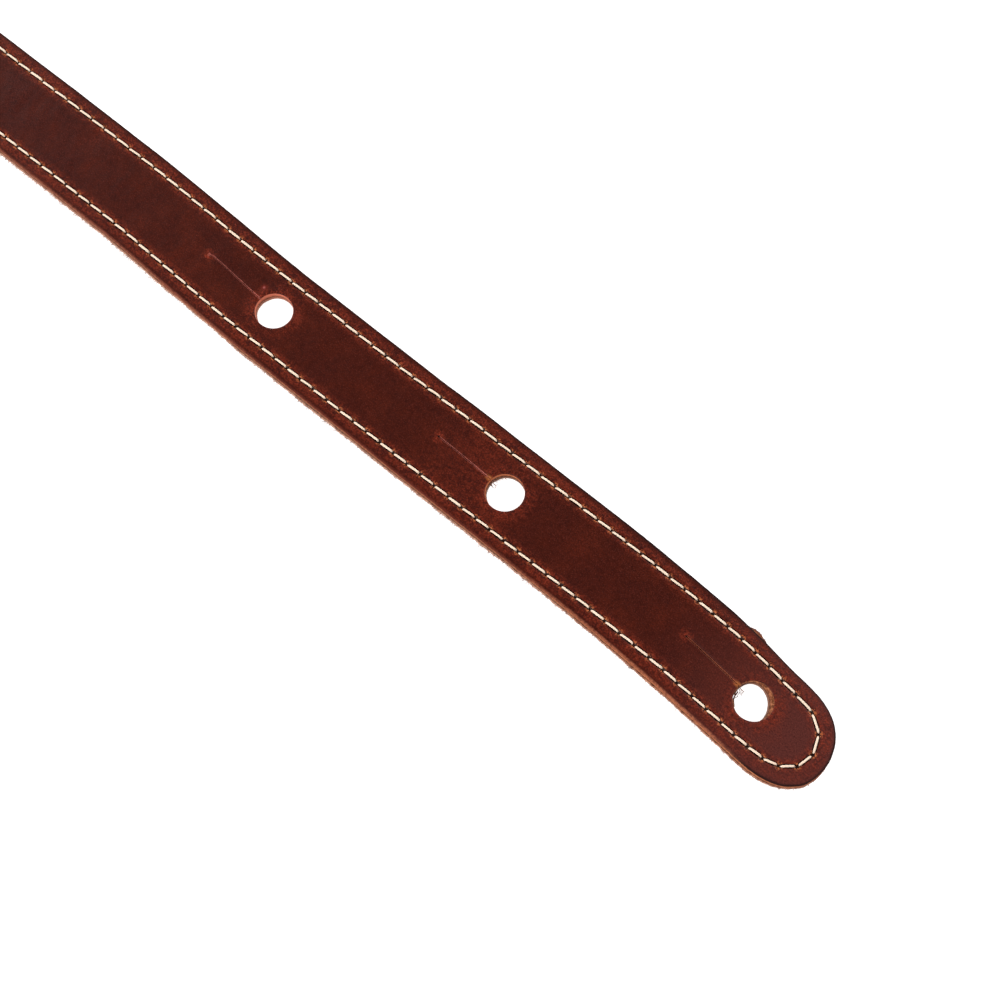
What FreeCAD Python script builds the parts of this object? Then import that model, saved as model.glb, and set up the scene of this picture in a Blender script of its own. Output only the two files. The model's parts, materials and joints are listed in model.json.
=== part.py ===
import FreeCAD, Part
import os
import math

# Slim two-ply leather guitar strap.
#
# A grain-leather outer ply and a thinner suede backing ply are glued back to
# back and lock-stitched together round the whole outline: the needle thread
# shows on the grain side, the bobbin thread on the suede side.  Both ends are
# rounded and take a guitar's strap button: three keyholes in the tail set the
# length, one is in the head end.
#
# The strap rests as it would when it is put down: the tail lies flat with its
# grain side up, the middle turns over in one standing bend, and the head half
# lies beside it with its suede side up.  Leather bends everywhere, so bend
# lines across the strap stand for it.  Every section between two bend lines
# is built in the straightened strap's own coordinates
#     s  distance from the tail tip along the centre line
#     y  distance across, positive to the left of someone facing the tail tip
#     n  height above the suede face (0) towards the grain face (THICK)
# and is then turned about the bend lines into the resting shape.
#
# Row frame: +Z up, +X along the tail run towards the tail tip, origin at the
# centre of the bounding box's bottom.

V = FreeCAD.Vector

# ---------------------------------------------------------------- dimensions
LENGTH = 1150.0          # tip to tip, straightened
WIDTH = 25.4             # 1 inch strap
OUTER_T = 1.8            # grain leather ply
BACK_T = 1.2             # suede backing ply
THICK = OUTER_T + BACK_T

HOLE_D = 9.5             # 3/8 inch punch
# keyhole centres from the tail tip, and how far each lies to the left of the
# centre line: they are marked out and punched by hand
TAIL_HOLES = [(21.6, -0.1), (97.9, 0.15), (172.7, 0.2)]
SLIT_REACH = 21.2        # hole centre to the far end of the slit
SLIT_W = 0.4             # knife slit, pressed slightly open
HEAD_HOLE = 22.0         # head end to the centre of its keyhole

STITCH_Y = 9.1           # stitch row from the centre line
THREAD_W = 0.6
THREAD_H = 0.4
GROOVE_W = 0.8
GROOVE_H = 0.45

TIP_CURVE_R = 709.0      # the tail's last stretch wanders gently to one side
BEND_GAP = 0.10          # between two sections at a bend line
THREAD_SETBACK = 0.30    # the thread ends short of the section's end

SKEW = math.radians(15.0)        # fold lines against square across the strap
FOLD_TURN = math.radians(41.0)   # turn at each of the five fold lines
FOLD_PITCH = 21.5                # between fold lines, square to them
TOUCH_TURN = math.radians(25.0)  # turn back where the strap touches down
N_FOLD = 5

# bend lines square across the tail, by their distance from the tail tip
TAIL_BENDS = [78.0, 143.5, 219.0, 370.0]
FOLD_START = 530.0
HEAD_BENDS = [850.0, 950.0, 1050.0]

HALF = WIDTH / 2.0
S_ARC = TAIL_BENDS[0]

# ------------------------------------------------------------ derived layout
cosk, sink = math.cos(SKEW), math.sin(SKEW)
# height of the last fold line's pivot above the surface
z_last = sum(FOLD_PITCH * math.sin(FOLD_TURN * k) for k in range(1, N_FOLD))
theta = FOLD_TURN * N_FOLD
slope_u = (z_last + THICK * math.cos(theta)) / (-math.sin(theta))
fold_s = [FOLD_START + k * FOLD_PITCH / cosk for k in range(N_FOLD)]
TOUCH_S = fold_s[-1] + slope_u / cosk


class End:
    """One end of a section: a line across the strap and the slope of the cut.

    s0     where the line crosses the centre line
    skew   angle of the line against square across
    pivot  'grain', 'back' or None for a square cut
    half   half of the turn that the two cut faces share
    """

    def __init__(self, s0, skew=0.0, pivot=None, half=0.0):
        self.s0, self.skew, self.pivot, self.half = s0, skew, pivot, half

    def at(self, y, n, side, extra=0.0):
        # side +1: the section lies at larger s than this line
        h = {None: 0.0, "back": n, "grain": THICK - n}[self.pivot]
        back = BEND_GAP / 2.0 + max(h, 0.0) * math.tan(self.half) + extra
        return self.s0 - y * math.tan(self.skew) + side * back / math.cos(self.skew)


def flat(s, y, n):
    return V(-s, y, n)


def bar(e0, e1, ya, yb, n0, n1, extra=0.0):
    """Straight prism of the flat strap between two end lines."""
    c = {}
    for i, y in enumerate((ya, yb)):
        for j, n in enumerate((n0, n1)):
            c[0, i, j] = flat(e0.at(y, n, +1, extra), y, n)
            c[1, i, j] = flat(e1.at(y, n, -1, extra), y, n)
    quads = [
        (c[0, 0, 0], c[0, 1, 0], c[0, 1, 1], c[0, 0, 1]),
        (c[1, 0, 0], c[1, 0, 1], c[1, 1, 1], c[1, 1, 0]),
        (c[0, 0, 0], c[0, 0, 1], c[1, 0, 1], c[1, 0, 0]),
        (c[0, 1, 0], c[1, 1, 0], c[1, 1, 1], c[0, 1, 1]),
        (c[0, 0, 0], c[1, 0, 0], c[1, 1, 0], c[0, 1, 0]),
        (c[0, 0, 1], c[0, 1, 1], c[1, 1, 1], c[1, 0, 1]),
    ]
    faces = [Part.Face(Part.makePolygon(list(q) + [q[0]])) for q in quads]
    solid = Part.Solid(Part.Shell(faces))
    if solid.Volume < 0:
        solid = solid.reversed()
    return solid


# ------------------------------------------------- rounded ends of the strap
def tail_at(s, y):
    """Plan position on the tail's gently curved last stretch."""
    b = (S_ARC - s) / TIP_CURVE_R
    return V(-S_ARC + (TIP_CURVE_R + y) * math.sin(b),
             -TIP_CURVE_R + (TIP_CURVE_R + y) * math.cos(b), 0)


def head_at(s, y):
    return V(-s, y, 0)


def side_edge(at, sa, sb, y, curved):
    a, b = at(sa, y), at(sb, y)
    if curved:
        return Part.Arc(a, at((sa + sb) / 2.0, y), b).toShape()
    return Part.LineSegment(a, b).toShape()


def round_edge(at, sc, w, sgn, flip=False):
    """Half circle about the centre line at sc, bulging towards the end."""
    eps = 0.01
    c = at(sc, 0)
    d = at(sc + sgn * eps, 0) - c
    d.normalize()
    a, b = at(sc, w), at(sc, -w)
    if flip:
        a, b = b, a
    return Part.Arc(a, c + d * w, b).toShape()


def end_face(at, s_cut, s_c, w_out, w_in, curved, sgn):
    """Plan of a rounded end (w_in None) or of the U-shaped band inside it."""
    edges = [side_edge(at, s_cut, s_c, w_out, curved),
             round_edge(at, s_c, w_out, sgn),
             side_edge(at, s_c, s_cut, -w_out, curved)]
    if w_in is None:
        edges.append(Part.LineSegment(at(s_cut, -w_out), at(s_cut, w_out)).toShape())
    else:
        edges += [Part.LineSegment(at(s_cut, -w_out), at(s_cut, -w_in)).toShape(),
                  side_edge(at, s_cut, s_c, -w_in, curved),
                  round_edge(at, s_c, w_in, sgn, True),
                  side_edge(at, s_c, s_cut, w_in, curved),
                  Part.LineSegment(at(s_cut, w_in), at(s_cut, w_out)).toShape()]
    return Part.Face(Part.Wire(Part.__sortEdges__(edges)))


def lift(face, n0, n1):
    f = face.copy()
    f.translate(V(0, 0, n0))
    return f.extrude(V(0, 0, n1 - n0))


def keyhole(at, s_c, y_c):
    """Punched hole and the knife slit that runs from it, as a cutting tool."""
    c = at(s_c, y_c)
    d = at(s_c + 1.0, y_c) - c
    if s_c > LENGTH / 2.0:
        d = at(s_c - 1.0, y_c) - c
    d.normalize()
    side = V(-d.y, d.x, 0)
    tool = Part.makeCylinder(HOLE_D / 2.0, THICK + 2.0, c + V(0, 0, -1.0), V(0, 0, 1))
    p = [c + side * (SLIT_W / 2.0), c + d * SLIT_REACH + side * (SLIT_W / 2.0),
         c + d * SLIT_REACH - side * (SLIT_W / 2.0), c - side * (SLIT_W / 2.0)]
    slit = Part.Face(Part.makePolygon(p + [p[0]]))
    return tool.fuse(lift(slit, -1.0, THICK + 1.0))


# ------------------------------------------------------------------ sections
def thread_band(at, s_cut, s_c, width, curved, sgn, n0, n1):
    f = end_face(at, s_cut, s_c, STITCH_Y + width / 2.0, STITCH_Y - width / 2.0, curved, sgn)
    return lift(f, n0, n1)


def rounded_section(at, s_line, s_c, curved, sgn):
    """Outer ply, backing ply, needle thread, bobbin thread of an end section."""
    cut = s_line + sgn * BEND_GAP / 2.0
    cut_t = s_line + sgn * (BEND_GAP / 2.0 + THREAD_SETBACK)
    over = s_line - sgn * 1.0
    body = end_face(at, cut, s_c, HALF, None, curved, sgn)
    outer = lift(body, BACK_T, THICK)
    back = lift(body, 0.0, BACK_T)
    outer = outer.cut(thread_band(at, over, s_c, GROOVE_W, curved, sgn, THICK - GROOVE_H, THICK + 1.0))
    back = back.cut(thread_band(at, over, s_c, GROOVE_W, curved, sgn, -1.0, GROOVE_H))
    needle = thread_band(at, cut_t, s_c, THREAD_W, curved, sgn, THICK - THREAD_H, THICK)
    bobbin = thread_band(at, cut_t, s_c, THREAD_W, curved, sgn, GROOVE_H - THREAD_H, GROOVE_H)
    return outer, back, needle, bobbin


def straight_section(e0, e1):
    outer = bar(e0, e1, -HALF, HALF, BACK_T, THICK)
    back = bar(e0, e1, -HALF, HALF, 0.0, BACK_T)
    needle, bobbin = [], []
    g, w = GROOVE_W / 2.0, THREAD_W / 2.0
    for sy in (-STITCH_Y, STITCH_Y):
        outer = outer.cut(bar(e0, e1, sy - g, sy + g, THICK - GROOVE_H, THICK + 1.0, -3.0))
        back = back.cut(bar(e0, e1, sy - g, sy + g, -1.0, GROOVE_H, -3.0))
        needle.append(bar(e0, e1, sy - w, sy + w, THICK - THREAD_H, THICK, THREAD_SETBACK))
        bobbin.append(bar(e0, e1, sy - w, sy + w, GROOVE_H - THREAD_H, GROOVE_H, THREAD_SETBACK))
    return outer, back, Part.makeCompound(needle), Part.makeCompound(bobbin)


square = [End(s) for s in TAIL_BENDS]
folds = [End(s, SKEW, "back", FOLD_TURN / 2.0) for s in fold_s]
touch = End(TOUCH_S, SKEW, "grain", TOUCH_TURN / 2.0)
heads = [End(s) for s in HEAD_BENDS]

lines = square + folds + [touch] + heads
names = (["tail_tip", "tail_2", "tail_3", "tail_4", "tail_5"]
         + ["fold_%d" % k for k in range(1, N_FOLD)]
         + ["slope", "head_1", "head_2", "head_3", "head_end"])

sections = {}
for i, name in enumerate(names):
    if name == "tail_tip":
        sections[name] = list(rounded_section(tail_at, lines[0].s0, HALF, True, -1))
    elif name == "head_end":
        sections[name] = list(rounded_section(head_at, lines[-1].s0, LENGTH - HALF, False, +1))
    else:
        sections[name] = list(straight_section(lines[i - 1], lines[i]))

holes = {"tail_tip": (tail_at,) + TAIL_HOLES[0],
         "tail_2": (head_at,) + TAIL_HOLES[1],
         "tail_3": (head_at,) + TAIL_HOLES[2],
         "head_end": (head_at, LENGTH - HEAD_HOLE, 0.0)}
for name, (at, s_c, y_c) in holes.items():
    tool = keyhole(at, s_c, y_c)
    for k in (0, 1):
        sections[name][k] = sections[name][k].cut(tool)

# --------------------------------------------------------------- rest shape
# Turn the fold: each section past a fold line follows the one before it.
place = {n: FreeCAD.Placement() for n in names[:5]}
axis_flat = V(math.sin(SKEW), math.cos(SKEW), 0)     # along the fold lines
current = FreeCAD.Placement()


def turn(pl, point, axis, angle):
    rot = FreeCAD.Rotation(axis, math.degrees(angle))
    step = FreeCAD.Placement(point, rot, V(0, 0, 0)) * FreeCAD.Placement(-point, FreeCAD.Rotation(), V(0, 0, 0))
    return pl.multiply(step)


joints = []          # name, parent, child, point and axis in the straightened strap
order = []
for k, s in enumerate(fold_s):
    p = flat(s, 0, 0)
    joints.append(("unfold_%d" % (k + 1), names[4 + k], names[5 + k], current.multVec(p),
                   current.Rotation.multVec(axis_flat * -1.0)))
    current = turn(current, p, axis_flat, FOLD_TURN)
    place[names[5 + k]] = current
p = flat(TOUCH_S, 0, THICK)
joints.append(("unfold_touch", "slope", "head_1", current.multVec(p), current.Rotation.multVec(axis_flat)))
current = turn(current, p, axis_flat, -TOUCH_TURN)
for n in ("head_1", "head_2", "head_3", "head_end"):
    place[n] = current

# square bend lines: the strap bends up off the surface it lies on
for k in (3, 2, 1, 0):
    joints.append(("bend_tail_%d" % (k + 1), names[k + 1], names[k],
                   flat(TAIL_BENDS[k], 0, THICK), V(0, -1, 0)))
for k, s in enumerate(HEAD_BENDS):
    joints.append(("bend_head_%d" % (k + 1), names[10 + k], names[11 + k],
                   current.multVec(flat(s, 0, 0)), current.Rotation.multVec(V(0, -1, 0))))

kinds = ("outer_ply", "backing_ply", "needle_thread", "bobbin_thread")
solids = {}
for name in names:
    for kind, shape in zip(kinds, sections[name]):
        sh = shape.copy()
        sh.Placement = place[name].multiply(sh.Placement)
        solids["%s_%s" % (kind, name)] = sh

box = FreeCAD.BoundBox()
for sh in solids.values():
    box.add(sh.optimalBoundingBox(False, False))
shift = V(-(box.XMin + box.XMax) / 2.0, -(box.YMin + box.YMax) / 2.0, -box.ZMin)

os.makedirs("parts", exist_ok=True)
for node, sh in solids.items():
    sh.translate(shift)
    if sh.ShapeType == "Compound":
        parts = sh.Solids
    else:
        parts = sh.Solids
    out = parts[0] if len(parts) == 1 else Part.makeCompound(parts)
    for q in parts:
        if not q.isValid() or not q.isClosed() or q.Volume <= 0:
            print("BAD", node, q.isValid(), q.isClosed(), q.Volume)
    out.exportStep("parts/%s.step" % node)

print("SIZE", round(box.XLength, 3), round(box.YLength, 3), round(box.ZLength, 3))
print("TOUCH_S", round(TOUCH_S, 3), "SLOPE_U", round(slope_u, 3), "FOLD_S", [round(s, 3) for s in fold_s])
print("SHIFT %.6f %.6f %.6f" % (shift.x, shift.y, shift.z))
for j in joints:
    q = j[3] + shift
    print("JOINT", j[0], j[1], j[2], "%.6f %.6f %.6f" % (q.x, q.y, q.z), "%.9f %.9f %.9f" % (j[4].x, j[4].y, j[4].z))
for name, (at, s_c, y_c) in holes.items():
    c = place[name].multVec(at(s_c, y_c) + V(0, 0, THICK / 2.0)) + shift
    a = place[name].Rotation.multVec(V(0, 0, -1))
    print("HOLE", name, "%.6f %.6f %.6f" % (c.x, c.y, c.z), "%.6f %.6f %.6f" % (a.x, a.y, a.z))
c = flat((TAIL_BENDS[3] + FOLD_START) / 2.0, 0, 0) + shift
print("UNDER %.6f %.6f %.6f" % (c.x, c.y, c.z))
for name in names:
    m = place[name]
    q = m.multVec(V(0, 0, 0)) + shift
    r = [m.Rotation.multVec(V(*e)) for e in ((1, 0, 0), (0, 1, 0), (0, 0, 1))]
    print("PLACE", name, "%.6f %.6f %.6f" % (q.x, q.y, q.z), " ".join("%.6f %.6f %.6f" % (e.x, e.y, e.z) for e in r))
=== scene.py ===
import json
import math

import bpy
import numpy as np
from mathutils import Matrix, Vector
from mathutils.geometry import delaunay_2d_cdt

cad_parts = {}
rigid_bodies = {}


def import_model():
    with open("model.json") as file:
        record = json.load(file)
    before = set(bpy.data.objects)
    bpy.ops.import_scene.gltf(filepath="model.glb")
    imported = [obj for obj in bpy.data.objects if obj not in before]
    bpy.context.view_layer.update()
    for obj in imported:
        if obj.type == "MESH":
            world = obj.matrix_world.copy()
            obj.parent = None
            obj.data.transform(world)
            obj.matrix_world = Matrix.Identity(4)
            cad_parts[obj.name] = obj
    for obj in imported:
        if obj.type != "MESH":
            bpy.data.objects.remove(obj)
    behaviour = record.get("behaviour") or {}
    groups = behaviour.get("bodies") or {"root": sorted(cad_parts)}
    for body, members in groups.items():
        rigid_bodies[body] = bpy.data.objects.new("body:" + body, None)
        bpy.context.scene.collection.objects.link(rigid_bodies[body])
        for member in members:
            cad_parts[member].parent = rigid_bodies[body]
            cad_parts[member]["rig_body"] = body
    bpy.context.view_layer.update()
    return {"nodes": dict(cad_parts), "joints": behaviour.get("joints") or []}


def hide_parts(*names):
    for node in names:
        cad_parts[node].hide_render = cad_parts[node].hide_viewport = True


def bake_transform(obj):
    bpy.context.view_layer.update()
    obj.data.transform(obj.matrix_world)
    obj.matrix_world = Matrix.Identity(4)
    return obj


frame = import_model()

# ---------------------------------------------------------------------------
# A two-ply leather guitar strap. Everything is worked out in the strap's own
# flat coordinates, in millimetres: s runs from the tail's tip to the head's
# end, y across (+ is the strap's left), n from the suede face (0) to the
# grain face (3). place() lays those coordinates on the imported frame.
# ---------------------------------------------------------------------------
MM = 0.001
LENGTH, HALF, THICK, BACK = 1150.0, 12.7, 3.0, 1.2
HOLE_R = 4.75
KEYHOLES = [(21.6, -0.1), (97.9, 0.15), (172.7, 0.2)]
PUNCH_LEAN = [(0.27, -0.23), (-0.27, 0.22), (-0.20, 0.16), (0.0, 0.0)]  # how far each hole has run off by the suede face
HEAD_HOLE = 1128.0
ARC_S, ARC_R = 78.0, 709.0
BENDS = {"bend_tail_1": 78.0, "bend_tail_2": 143.5, "bend_tail_3": 219.0, "bend_tail_4": 370.0,
         "bend_head_1": 850.0, "bend_head_2": 950.0, "bend_head_3": 1050.0}
SKEW = math.radians(15.0)
SN, CS = math.sin(SKEW), math.cos(SKEW)
JOINTS = {j["name"]: j for j in frame["joints"]}


def pivot(name):
    return np.array(JOINTS[name]["pos_m"], float) * 1000.0


SHIFT = np.array([pivot("bend_tail_4")[0] + BENDS["bend_tail_4"], pivot("bend_tail_4")[1]])
ARC_C = np.array([pivot("bend_tail_1")[0], SHIFT[1] - ARC_R])


def along(name):
    """How far round the fold a joint's pivot is, seen in the plane that the strap folds in: (distance, height)."""
    p = pivot(name)
    return np.array([(p[0] - SHIFT[0]) * -CS + (p[1] - SHIFT[1]) * SN, p[2]])


# ---- the fold as one smooth curve through the frame's hinge lines -------------
FOLDS = ["unfold_1", "unfold_2", "unfold_3", "unfold_4", "unfold_5"]
PITCH = float(np.linalg.norm(along("unfold_2") - along("unfold_1")))
TURN = math.radians(sum(JOINTS[n]["range_deg"][1] for n in FOLDS))
U_FOLD = float(along("unfold_1")[0])
U_LAST = U_FOLD + 4 * PITCH
U_HEAD = BENDS["bend_head_1"] * CS
U = np.arange(-60.0, 1140.0, 0.1)
# the last fold line is on the suede face and the landing line on the grain face
REACH = along("unfold_touch") - along("unfold_5")
U_TOUCH = U_LAST + math.sqrt(float(REACH @ REACH) - THICK ** 2)


def step(x):
    x = np.clip(x, 0.0, 1.0)
    return x * x * (3 - 2 * x)


def window(u, a, b, ramp):
    return step((u - a + ramp) / (2 * ramp)) - step((u - b + ramp) / (2 * ramp))


def curve(draw, tuck):
    """The suede face's line. A round bend is shorter than the hinge lines' polygon: draw and tuck take that up."""
    over, down = window(U, U_FOLD - PITCH / 2, U_FOLD + 4.5 * PITCH, 9.0), window(U, U_TOUCH - 9, U_TOUCH + 9, 5.0)
    bend = over * TURN / (5 * PITCH) + down * (math.pi - TURN) / 18.0
    pace = 1 - draw * over - tuck * down
    d = 0.1
    theta = np.concatenate([[0], np.cumsum((bend[1:] + bend[:-1]) * 0.5 * d)])
    cx, cz = np.cos(theta) * pace, np.sin(theta) * pace
    x = U[0] + np.concatenate([[0], np.cumsum((cx[1:] + cx[:-1]) * 0.5 * d)])
    z = np.concatenate([[0], np.cumsum((cz[1:] + cz[:-1]) * 0.5 * d)])
    return theta, x, z


def miss(q):
    theta, x, z = curve(q[0], q[1])
    middle = int(round(((U_LAST + U_TOUCH) / 2 - U[0]) / 0.1))
    off = np.array([x[middle], z[middle]]) - along("unfold_5")
    return np.array([off[1] * math.cos(TURN) - off[0] * math.sin(TURN), z[-1] - THICK])


guess = np.array([0.03, 0.03])
for _ in range(12):
    m0 = miss(guess)
    jac = np.stack([(miss(guess + np.array([0.002, 0])) - m0) / 0.002, (miss(guess + np.array([0, 0.002])) - m0) / 0.002], 1)
    guess = guess - np.linalg.solve(jac, m0)
THETA, CX, CZ = curve(guess[0], guess[1])


def place(s, y, n):
    """Flat strap coordinates in mm to the row frame in metres."""
    s, y, n = np.broadcast_arrays(np.asarray(s, float), np.asarray(y, float), np.asarray(n, float))
    out = np.empty(s.shape + (3,))
    y = y + 1.5 * step((s - 172.0) / 53.0) * (1 - step((s - 240.0) / 200.0))  # past the last tail hole the strap wanders a little
    u, v = s * CS + y * SN, -s * SN + y * CS
    th = np.interp(u, U, THETA)
    x = np.interp(u, U, CX) - np.sin(th) * n
    z = np.interp(u, U, CZ) + np.cos(th) * n
    out[..., 0] = SHIFT[0] + v * SN - x * CS
    out[..., 1] = SHIFT[1] + v * CS + x * SN
    out[..., 2] = z
    arc = s < ARC_S
    beta = (ARC_S - s[arc]) / ARC_R
    out[arc, 0] = ARC_C[0] + (ARC_R + y[arc]) * np.sin(beta)
    out[arc, 1] = ARC_C[1] + (ARC_R + y[arc]) * np.cos(beta)
    out[arc, 2] = n[arc]
    return out * MM


# ---- seeded smooth noise -------------------------------------------------------
def waves(s, y, size, seed, octaves=2):
    """Smooth noise of about -1..1 with features of about the given size in mm."""
    rng = np.random.default_rng(seed)
    s, y = np.asarray(s, float), np.asarray(y, float)
    total, norm = np.zeros(np.broadcast(s, y).shape), 0.0
    for o in range(octaves):
        k, w = math.pi / (size * 0.55 ** o), 0.6 ** o
        for _ in range(6):
            a, p, q, f = rng.uniform(0, 2 * math.pi), rng.uniform(0, 6.28), rng.uniform(0, 6.28), rng.uniform(0.7, 1.3)
            c, d = math.cos(a), math.sin(a)
            total = total + w * np.sin(k * f * (s * c + y * d) + p + 1.3 * np.sin(0.43 * k * (y * c - s * d) + q))
        norm += w * 6 * 0.40
    return total / norm


# ---- the outline ---------------------------------------------------------------
TIP = [(52, 12.7), (44, 12.7), (38, 12.7), (34, 12.68), (31, 12.6), (28.5, 12.5), (25.6, 12.27), (22.2, 12.0), (19.1, 11.8),
       (16.1, 11.75), (12.9, 11.6), (10.9, 11.38), (9.0, 10.93), (7.2, 10.3), (5.4, 9.38), (3.75, 8.1), (2.1, 6.25), (0.9, 4.1), (0.0, 1.7),
       (-0.4, -0.9), (-0.33, -3.2), (0.12, -5.4), (0.92, -7.05), (2.2, -8.55), (3.8, -10.0), (5.9, -11.08), (8.2, -11.85),
       (10.8, -12.42), (14, -12.68), (18, -12.72), (24, -12.7), (34, -12.7), (52, -12.7)]


def rounded(points, gap):
    """The points joined by a smooth (Catmull-Rom) line, resampled at an even gap."""
    p = np.array(points, float)
    p = np.vstack([2 * p[0] - p[1], p, 2 * p[-1] - p[-2]])
    line = []
    for i in range(1, len(p) - 2):
        t = np.linspace(0, 1, 30, endpoint=False)[:, None]
        a, b, c, d = p[i - 1], p[i], p[i + 1], p[i + 2]
        line.append(0.5 * (2 * b + (c - a) * t + (2 * a - 5 * b + 4 * c - d) * t ** 2 + (3 * b - a - 3 * c + d) * t ** 3))
    line = np.vstack(line + [p[-2][None]])
    for _ in range(40):
        line[1:-1] = 0.25 * line[:-2] + 0.5 * line[1:-1] + 0.25 * line[2:]
    length = np.concatenate([[0], np.cumsum(np.hypot(*np.diff(line, axis=0).T))])
    t = np.linspace(0, length[-1], max(2, int(round(length[-1] / gap)) + 1))
    return np.stack([np.interp(t, length, line[:, k]) for k in (0, 1)], 1)


FINE = rounded(TIP, 0.1)
FINE_T = np.gradient(FINE, axis=0)
FINE_T /= np.hypot(FINE_T[:, 0], FINE_T[:, 1])[:, None]
FINE_N = np.stack([-FINE_T[:, 1], FINE_T[:, 0]], 1)  # outwards: the line runs from +y round the tip to -y
if FINE_N[len(FINE) // 2, 0] > 0:
    FINE_N = -FINE_N
HEAD_C = LENGTH - HALF


def outline(s, y):
    """Distance inside the outline, the outward direction there, and the nearest outline point."""
    s, y = np.asarray(s, float), np.asarray(y, float)
    side = np.where(y >= 0, 1.0, -1.0)
    d, ns, ny = HALF - np.abs(y), np.zeros_like(s), side.copy()
    os_, oy = s.copy(), side * HALF
    h = s > HEAD_C
    if h.any():
        r = np.hypot(s[h] - HEAD_C, y[h])
        r = np.maximum(r, 1e-6)
        d[h], ns[h], ny[h] = HALF - r, (s[h] - HEAD_C) / r, y[h] / r
        os_[h], oy[h] = HEAD_C + ns[h] * HALF, ny[h] * HALF
    t = np.nonzero(s < 48)[0]
    for c in range(0, len(t), 4000):
        i = t[c:c + 4000]
        g = np.hypot(s[i, None] - FINE[None, :, 0], y[i, None] - FINE[None, :, 1])
        k = g.argmin(1)
        v = np.stack([s[i], y[i]], 1) - FINE[k]
        d[i] = -(v * FINE_N[k]).sum(1)
        far = g[np.arange(len(k)), k] > 3
        d[i[far]] = g[np.arange(len(k)), k][far]
        ns[i], ny[i], os_[i], oy[i] = FINE_N[k, 0], FINE_N[k, 1], FINE[k, 0], FINE[k, 1]
    return d, ns, ny, os_, oy


# ---- the stitch line: one closed run of needle holes ------------------------------
rng = np.random.default_rng(11)


def row(first, gaps, y_of):
    """Needle holes along one side. gaps: (up to this s, stitch length); from there an even one to the head end."""
    near = [first]
    for until, gap in gaps:
        while near[-1] + gap < until:
            near.append(near[-1] + gap)
    near = np.array(near)
    start = near[-1] + 4.4
    count = int(round((HEAD_C - start) / 4.4))
    s = np.concatenate([near, np.linspace(start, HEAD_C, count + 1)])
    y = y_of(s) + 0.03 * rng.standard_normal(len(s))
    s = s + 0.04 * rng.standard_normal(len(s))
    s[-1] = HEAD_C
    return np.stack([s, y], 1)


UP = row(15.77, [(95.0, 4.36), (300.0, 4.47)], lambda s: np.interp(
    s, [15.8, 20.1, 24.5, 28.8, 33, 44, 53, 66, 79, 105, 114, 121, 128, 137, 150, 160, 200, 320],
    [7.92, 8.15, 8.57, 8.88, 9.1, 9.2, 9.2, 9.1, 9.0, 9.0, 9.13, 9.1, 8.9, 8.8, 8.8, 8.95, 8.97, 9.1]))
LO = row(11.3, [(27.0, 4.13), (78.0, 4.48), (300.0, 4.331)], lambda s: -np.interp(
    s, [11.5, 15.5, 19.65, 23.8, 28, 37, 44, 53, 66, 90, 106, 115, 130, 145, 160, 170, 320],
    [8.48, 8.85, 9.06, 9.0, 9.05, 8.98, 8.87, 9.04, 9.2, 9.3, 9.37, 9.27, 9.35, 9.3, 9.22, 9.1, 9.1]))
CORNERS = np.array([(7.48, -7.2), (4.38, -4.28), (3.73, 0.35), (5.95, 4.68), (10.35, 7.42)])
ROUND = np.array([(HEAD_C + 9.1 * math.cos(a), 9.1 * math.sin(a)) for a in np.linspace(math.pi / 2, -math.pi / 2, 8)[1:-1]])
HOLES = np.vstack([CORNERS, UP, ROUND, LO[::-1]])  # tip, up the left row, round the head end, back down the right row
HOLES_NEXT = np.roll(HOLES, -1, axis=0)


def seg_dist(s, y, a, b):
    """Distance from points to segments, the least over the segments."""
    best = np.full(len(s), 1e9)
    for p, q in zip(a, b):
        d = q - p
        t = np.clip(((s - p[0]) * d[0] + (y - p[1]) * d[1]) / (d @ d), 0, 1)
        best = np.minimum(best, np.hypot(s - p[0] - t * d[0], y - p[1] - t * d[1]))
    return best


def stitch_dist(s, y):
    """Distance to the stitch line and to the nearest needle hole."""
    up = y >= 0
    line = np.where(up, np.abs(y - np.interp(s, UP[:, 0], UP[:, 1])), np.abs(y - np.interp(s, LO[:, 0], LO[:, 1])))
    hole = np.full(len(s), 1e9)
    for mask, r in ((up, UP), (~up, LO)):
        i = np.clip(np.searchsorted(r[:, 0], s[mask]), 1, len(r) - 1)
        a, b = r[i - 1], r[i]
        hole[mask] = np.minimum(np.hypot(s[mask] - a[:, 0], y[mask] - a[:, 1]), np.hypot(s[mask] - b[:, 0], y[mask] - b[:, 1]))
    for ends in (s < 26, s > HEAD_C - 6):
        if ends.any():
            use = ((HOLES[:, 0] < 34) & (HOLES_NEXT[:, 0] < 34)) if s[ends][0] < 600 else ((HOLES[:, 0] > HEAD_C - 14) & (HOLES_NEXT[:, 0] > HEAD_C - 14))
            line[ends] = seg_dist(s[ends], y[ends], HOLES[use], HOLES_NEXT[use])
            pts = np.vstack([HOLES[use], HOLES_NEXT[use]])
            hole[ends] = np.hypot(s[ends][:, None] - pts[None, :, 0], y[ends][:, None] - pts[None, :, 1]).min(1)
    return line, hole


# ---- keyholes: a round hole and a slit that leads away from the nearer end ------------
SLITS = [np.array([(26.0, 0.25), (31, 0.42), (37, 0.6), (42.9, 0.75)]),
         np.array([(102.3, 0.5), (108, 0.72), (114, 0.88), (119.4, 0.95)]),
         np.array([(177.1, 0.4), (184, 0.72), (190, 0.95), (194.4, 1.05), (195.7, 0.65)]),
         np.array([(1123.6, 0.1), (1115, 0.0), (1106.8, 0.1)])]
CENTRES = np.array(KEYHOLES + [(HEAD_HOLE, 0.0)])
LEANS = np.array(PUNCH_LEAN)


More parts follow.
